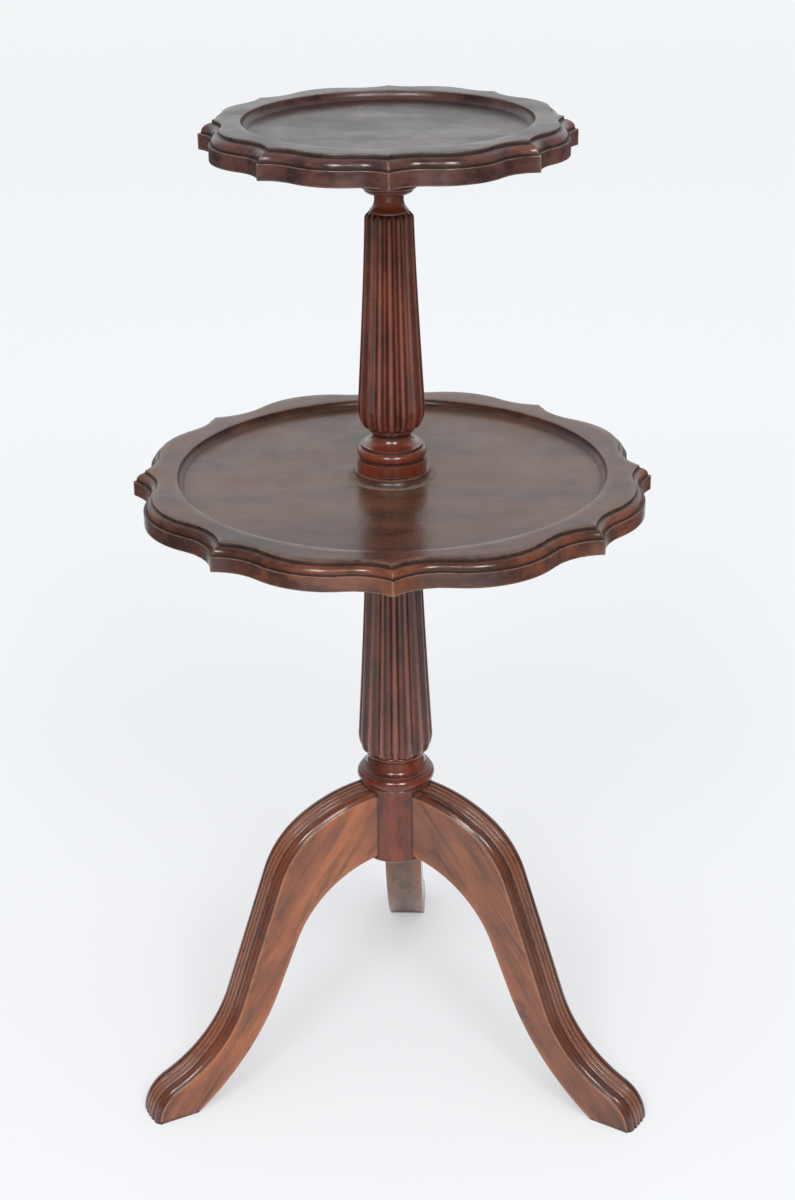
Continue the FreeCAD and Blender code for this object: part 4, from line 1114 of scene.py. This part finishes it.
def leg_sections():
    """The sections of a leg from the block to the toe. The first one fits the round block."""
    heel = under_line[-1]
    turn_at = int(np.argmin(np.hypot(*(top_line[:, :2] - heel[:2] - OVER_HEEL).T)))
    long_top, toe_top = top_line[:turn_at + 1], top_line[turn_at:]
    first = leg_loop(long_top[0], under_line[0])
    first[:, 0] = np.sqrt((BLOCK + 0.05) ** 2 - first[:, 1] ** 2)
    slopes = [math.tan(math.radians(heading)) for heading in (TOP_HEADING, UNDER_HEADING)]
    first[:, 2] -= (first[:, 0] - long_top[0][0]) * np.where(
        np.arange(len(first)) < len(crown), slopes[0], sum(slopes) / 2)
    top, low = (line[int(np.argmax(line[:, 0] > CLEAR)):] for line in (long_top, under_line))
    sections = [first]
    sections += [leg_loop(along(top, share), along(low, share))
                 for share in np.linspace(0, 1, LONG_STEPS)]
    sole = np.array([heel, [top_line[-1][0], 0.0, 0.0]])
    for share in np.linspace(0, 1, TOE_STEPS)[1:]:
        low = along(sole, share)
        low[2] = heel[2] * (1 - min(1, share * 6))
        sections.append(leg_loop(along(toe_top, share), low, left=1 - WORN * share))
    return sections


leg_rings = leg_sections()
print("sections of a leg:", len(leg_rings), "with", len(crown), "points on the crown")


# %% Skin the legs
def leg_mesh(name, degrees):
    """A leg turned to its place, closed at both ends, with the darkening of its moulded
    face as an attribute.
    """
    cos, sin = math.cos(math.radians(degrees)), math.sin(math.radians(degrees))
    shell = bmesh.new()
    crown_darkening = shell.verts.layers.float.new("crown_darkening")
    rows = []
    for out, across, height in (ring.T for ring in leg_rings):
        points = np.column_stack([out * cos - across * sin, out * sin + across * cos,
                                  np.maximum(height, 0.0)])
        rows.append([shell.verts.new(point * MM) for point in points])
    for row in rows:
        # A darker colour on the moulded face: full on the reeds, 0.72 on the outer rounds, none
        # on the arrises.
        for (across, _), vert in zip(crown, row):
            vert[crown_darkening] = 1.0 if abs(across) < 1.5 * REED + 0.1 else 0.72
        for vert in row[:2] + row[len(crown) - 2:len(crown)]:
            vert[crown_darkening] = 0.0
    for here, there in zip(rows, rows[1:]):
        for k in range(len(here)):
            after = (k + 1) % len(here)
            shell.faces.new((here[k], there[k], there[after], here[after]))
    bmesh.ops.remove_doubles(shell, verts=shell.verts, dist=2e-6)
    open_edges = [edge for edge in shell.edges if edge.is_boundary]
    bmesh.ops.holes_fill(shell, edges=open_edges, sides=0)
    bmesh.ops.recalc_face_normals(shell, faces=shell.faces)
    mesh = bpy.data.meshes.new(name)
    shell.to_mesh(mesh)
    shell.free()
    smooth(mesh, 50)
    mark_ridges_hollows_flats(mesh, ridge=(130, 420))
    return mesh


LEGS = {"leg_rear": (87.5, REAR_LEG_COLOURS), "leg_front_left": (207.5, LEFT_LEG_COLOURS),
        "leg_front_right": (327.5, RIGHT_LEG_COLOURS)}
for node, (degrees, colours) in LEGS.items():
    finish = polished_wood(
        "polished_" + node + "_mahogany", [(0, 0, -degrees), (0, -52, 0)], colours, gloss=0.24,
        coat=0.5, dirty=True, mottle_share=0.4, streak_share=0.8, grime_share=0.95,
        band_scale=22.0, dash_share=0.4, rub_share=0.5, rub_gaps=0.4, spot_share=0.45,
        rubbed=sRGB(180, 115, 79))
    show(leg_mesh(node + "_board", degrees), finish, node)

# %% [markdown]
# ## Boss and cleats
# Under the trays are plain parts that nobody polishes: a turned boss and two cleats that
# keep the lower board flat. The CAD solids have the right shape for them, bevels and
# countersinks included, so they stay and only get a plainer wood.

# %% Finish the hidden wood
HIDDEN_COLOURS = (sRGB(128, 84, 62), sRGB(100, 62, 46), sRGB(64, 36, 28))
for node, turns in (("tray_boss", []), ("cleat_left", [(0, 0, 90)]),
                    ("cleat_right", [(0, 0, 90)])):
    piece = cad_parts[node]
    piece.data.materials.clear()
    piece.data.materials.append(polished_wood(
        "plain_" + node + "_mahogany", turns, HIDDEN_COLOURS, gloss=0.5, shine=0.3,
        mottle_share=0.5))
    print(node, "keeps its CAD shape")

# %% [markdown]
# ## Slotted screws
# Ten countersunk steel screws hold the cleats and the boss. One screw is made inside a
# Geometry Nodes tree, a cone over a shank with a slot cut across it, and the tree puts a
# copy on every point that it is given. Each one is turned by a seeded amount, because no
# hand stops every slot in line.

# %% The screw tree
screwing, enter, leave = new_group("slotted_screws", "GeometryNodeTree", {
    "Geometry": "Geometry", "Head Radius": 0.0042, "Head Height": 0.0024,
    "Shank Radius": 0.002, "Length": 0.019, "Slot Width": 0.0009, "Slot Depth": 0.001,
    "Seed": 5, "Material": "Material",
}, {"Geometry": "Geometry"})
sizes = numbers_in(screwing, enter)


def lifted(geometry, height):
    """Moves geometry up, inside the tree."""
    at = add(screwing, "ShaderNodeCombineXYZ", {"Z": height})
    node = add(screwing, "GeometryNodeTransform", {
        "Geometry": geometry, "Translation": at.outputs[0]})
    return node.outputs[0]


head = add(screwing, "GeometryNodeMeshCone", {
    "Vertices": 32, "Radius Top": sizes["Shank Radius"], "Radius Bottom": sizes["Head Radius"],
    "Depth": sizes["Head Height"]}, fill_type="NGON")
shank = add(screwing, "GeometryNodeMeshCone", {
    "Vertices": 32, "Radius Top": sizes["Shank Radius"] * 0.5,
    "Radius Bottom": sizes["Shank Radius"] * 0.98,
    "Depth": sizes["Length"] - sizes["Head Height"] * 0.5}, fill_type="NGON")
slot_size = add(screwing, "ShaderNodeCombineXYZ", {
    "X": sizes["Head Radius"] * 3.0, "Y": sizes["Slot Width"], "Z": sizes["Slot Depth"] * 2.0})
cutter = add(screwing, "GeometryNodeMeshCube", {"Size": slot_size.outputs[0]})
body = add(screwing, "GeometryNodeMeshBoolean", {
    "Mesh 2": lifted(shank.outputs["Mesh"], sizes["Head Height"] * 0.5)}, operation="UNION")
screwing.links.new(head.outputs["Mesh"], body.inputs["Mesh 2"])
screw = add(screwing, "GeometryNodeMeshBoolean", {
    "Mesh 1": body.outputs[0], "Mesh 2": cutter.outputs["Mesh"]}, operation="DIFFERENCE")
turned_by = add(screwing, "FunctionNodeRandomValue", {
    "Min": (0.0, 0.0, 0.0), "Max": (0.0, 0.0, math.pi), "Seed": enter["Seed"]},
    data_type="FLOAT_VECTOR")
copies = add(screwing, "GeometryNodeInstanceOnPoints", {
    "Points": enter["Geometry"], "Instance": screw.outputs[0],
    "Rotation": turned_by.outputs[0]})
send_out(screwing, copies.outputs[0], enter, leave)

# %% Old steel
old_steel = bpy.data.materials.new("old_screw_steel")
tree = empty_tree(old_steel)
tarnish = noise(tree, add(tree, "ShaderNodeTexCoord").outputs["Object"], 900.0,
                Detail=4.0, Roughness=0.7)
brown = mix(tree, tarnish.ramp(0.4, 0.65), sRGB(128, 122, 116), sRGB(78, 54, 40))
bump = add(tree, "ShaderNodeBump", {"Height": tarnish, "Distance": 0.00008, "Strength": 0.6})
shader = add(tree, "ShaderNodeBsdfPrincipled", {
    "Base Color": brown, "Metallic": tarnish.ramp(0.45, 0.7, 0.95, 0.5),
    "Roughness": tarnish.ramp(0.3, 0.7, 0.32, 0.62), "Normal": bump.outputs[0]})
add(tree, "ShaderNodeOutputMaterial", {"Surface": shader.outputs[0]})

# %% Put the screws in their holes
CLEAT_AT, CLEAT_SHIFT, CLEAT_STEP, BOSS_RING = 58, 5, 135, 38
CLEAT_HOLES = [(side * CLEAT_AT, side * CLEAT_SHIFT + step * CLEAT_STEP)
               for side in (-1, 1) for step in (-1, 0, 1)]
BOSS_HOLES = [(BOSS_RING * math.cos(turn), BOSS_RING * math.sin(turn)) for turn in
              (math.radians(45 + 90 * k) for k in range(4))]
SCREW = {**in_metres(head_radius=4.1, head_height=2.4, shank_radius=2, length=18.9,
                     slot_width=0.9, slot_depth=1.0), "Seed": 5, "Material": old_steel}
for node, holes in (("cleat_screws", CLEAT_HOLES), ("boss_screws", BOSS_HOLES)):
    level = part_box(node)[0][2]
    points = bpy.data.meshes.new(node + "_points")
    points.from_pydata([(x * MM, y * MM, level) for x, y in holes], [], [])
    screws = baked(node + "_slotted", screwing, points, SCREW)
    smooth(screws, 30)
    show(screws, old_steel, node)
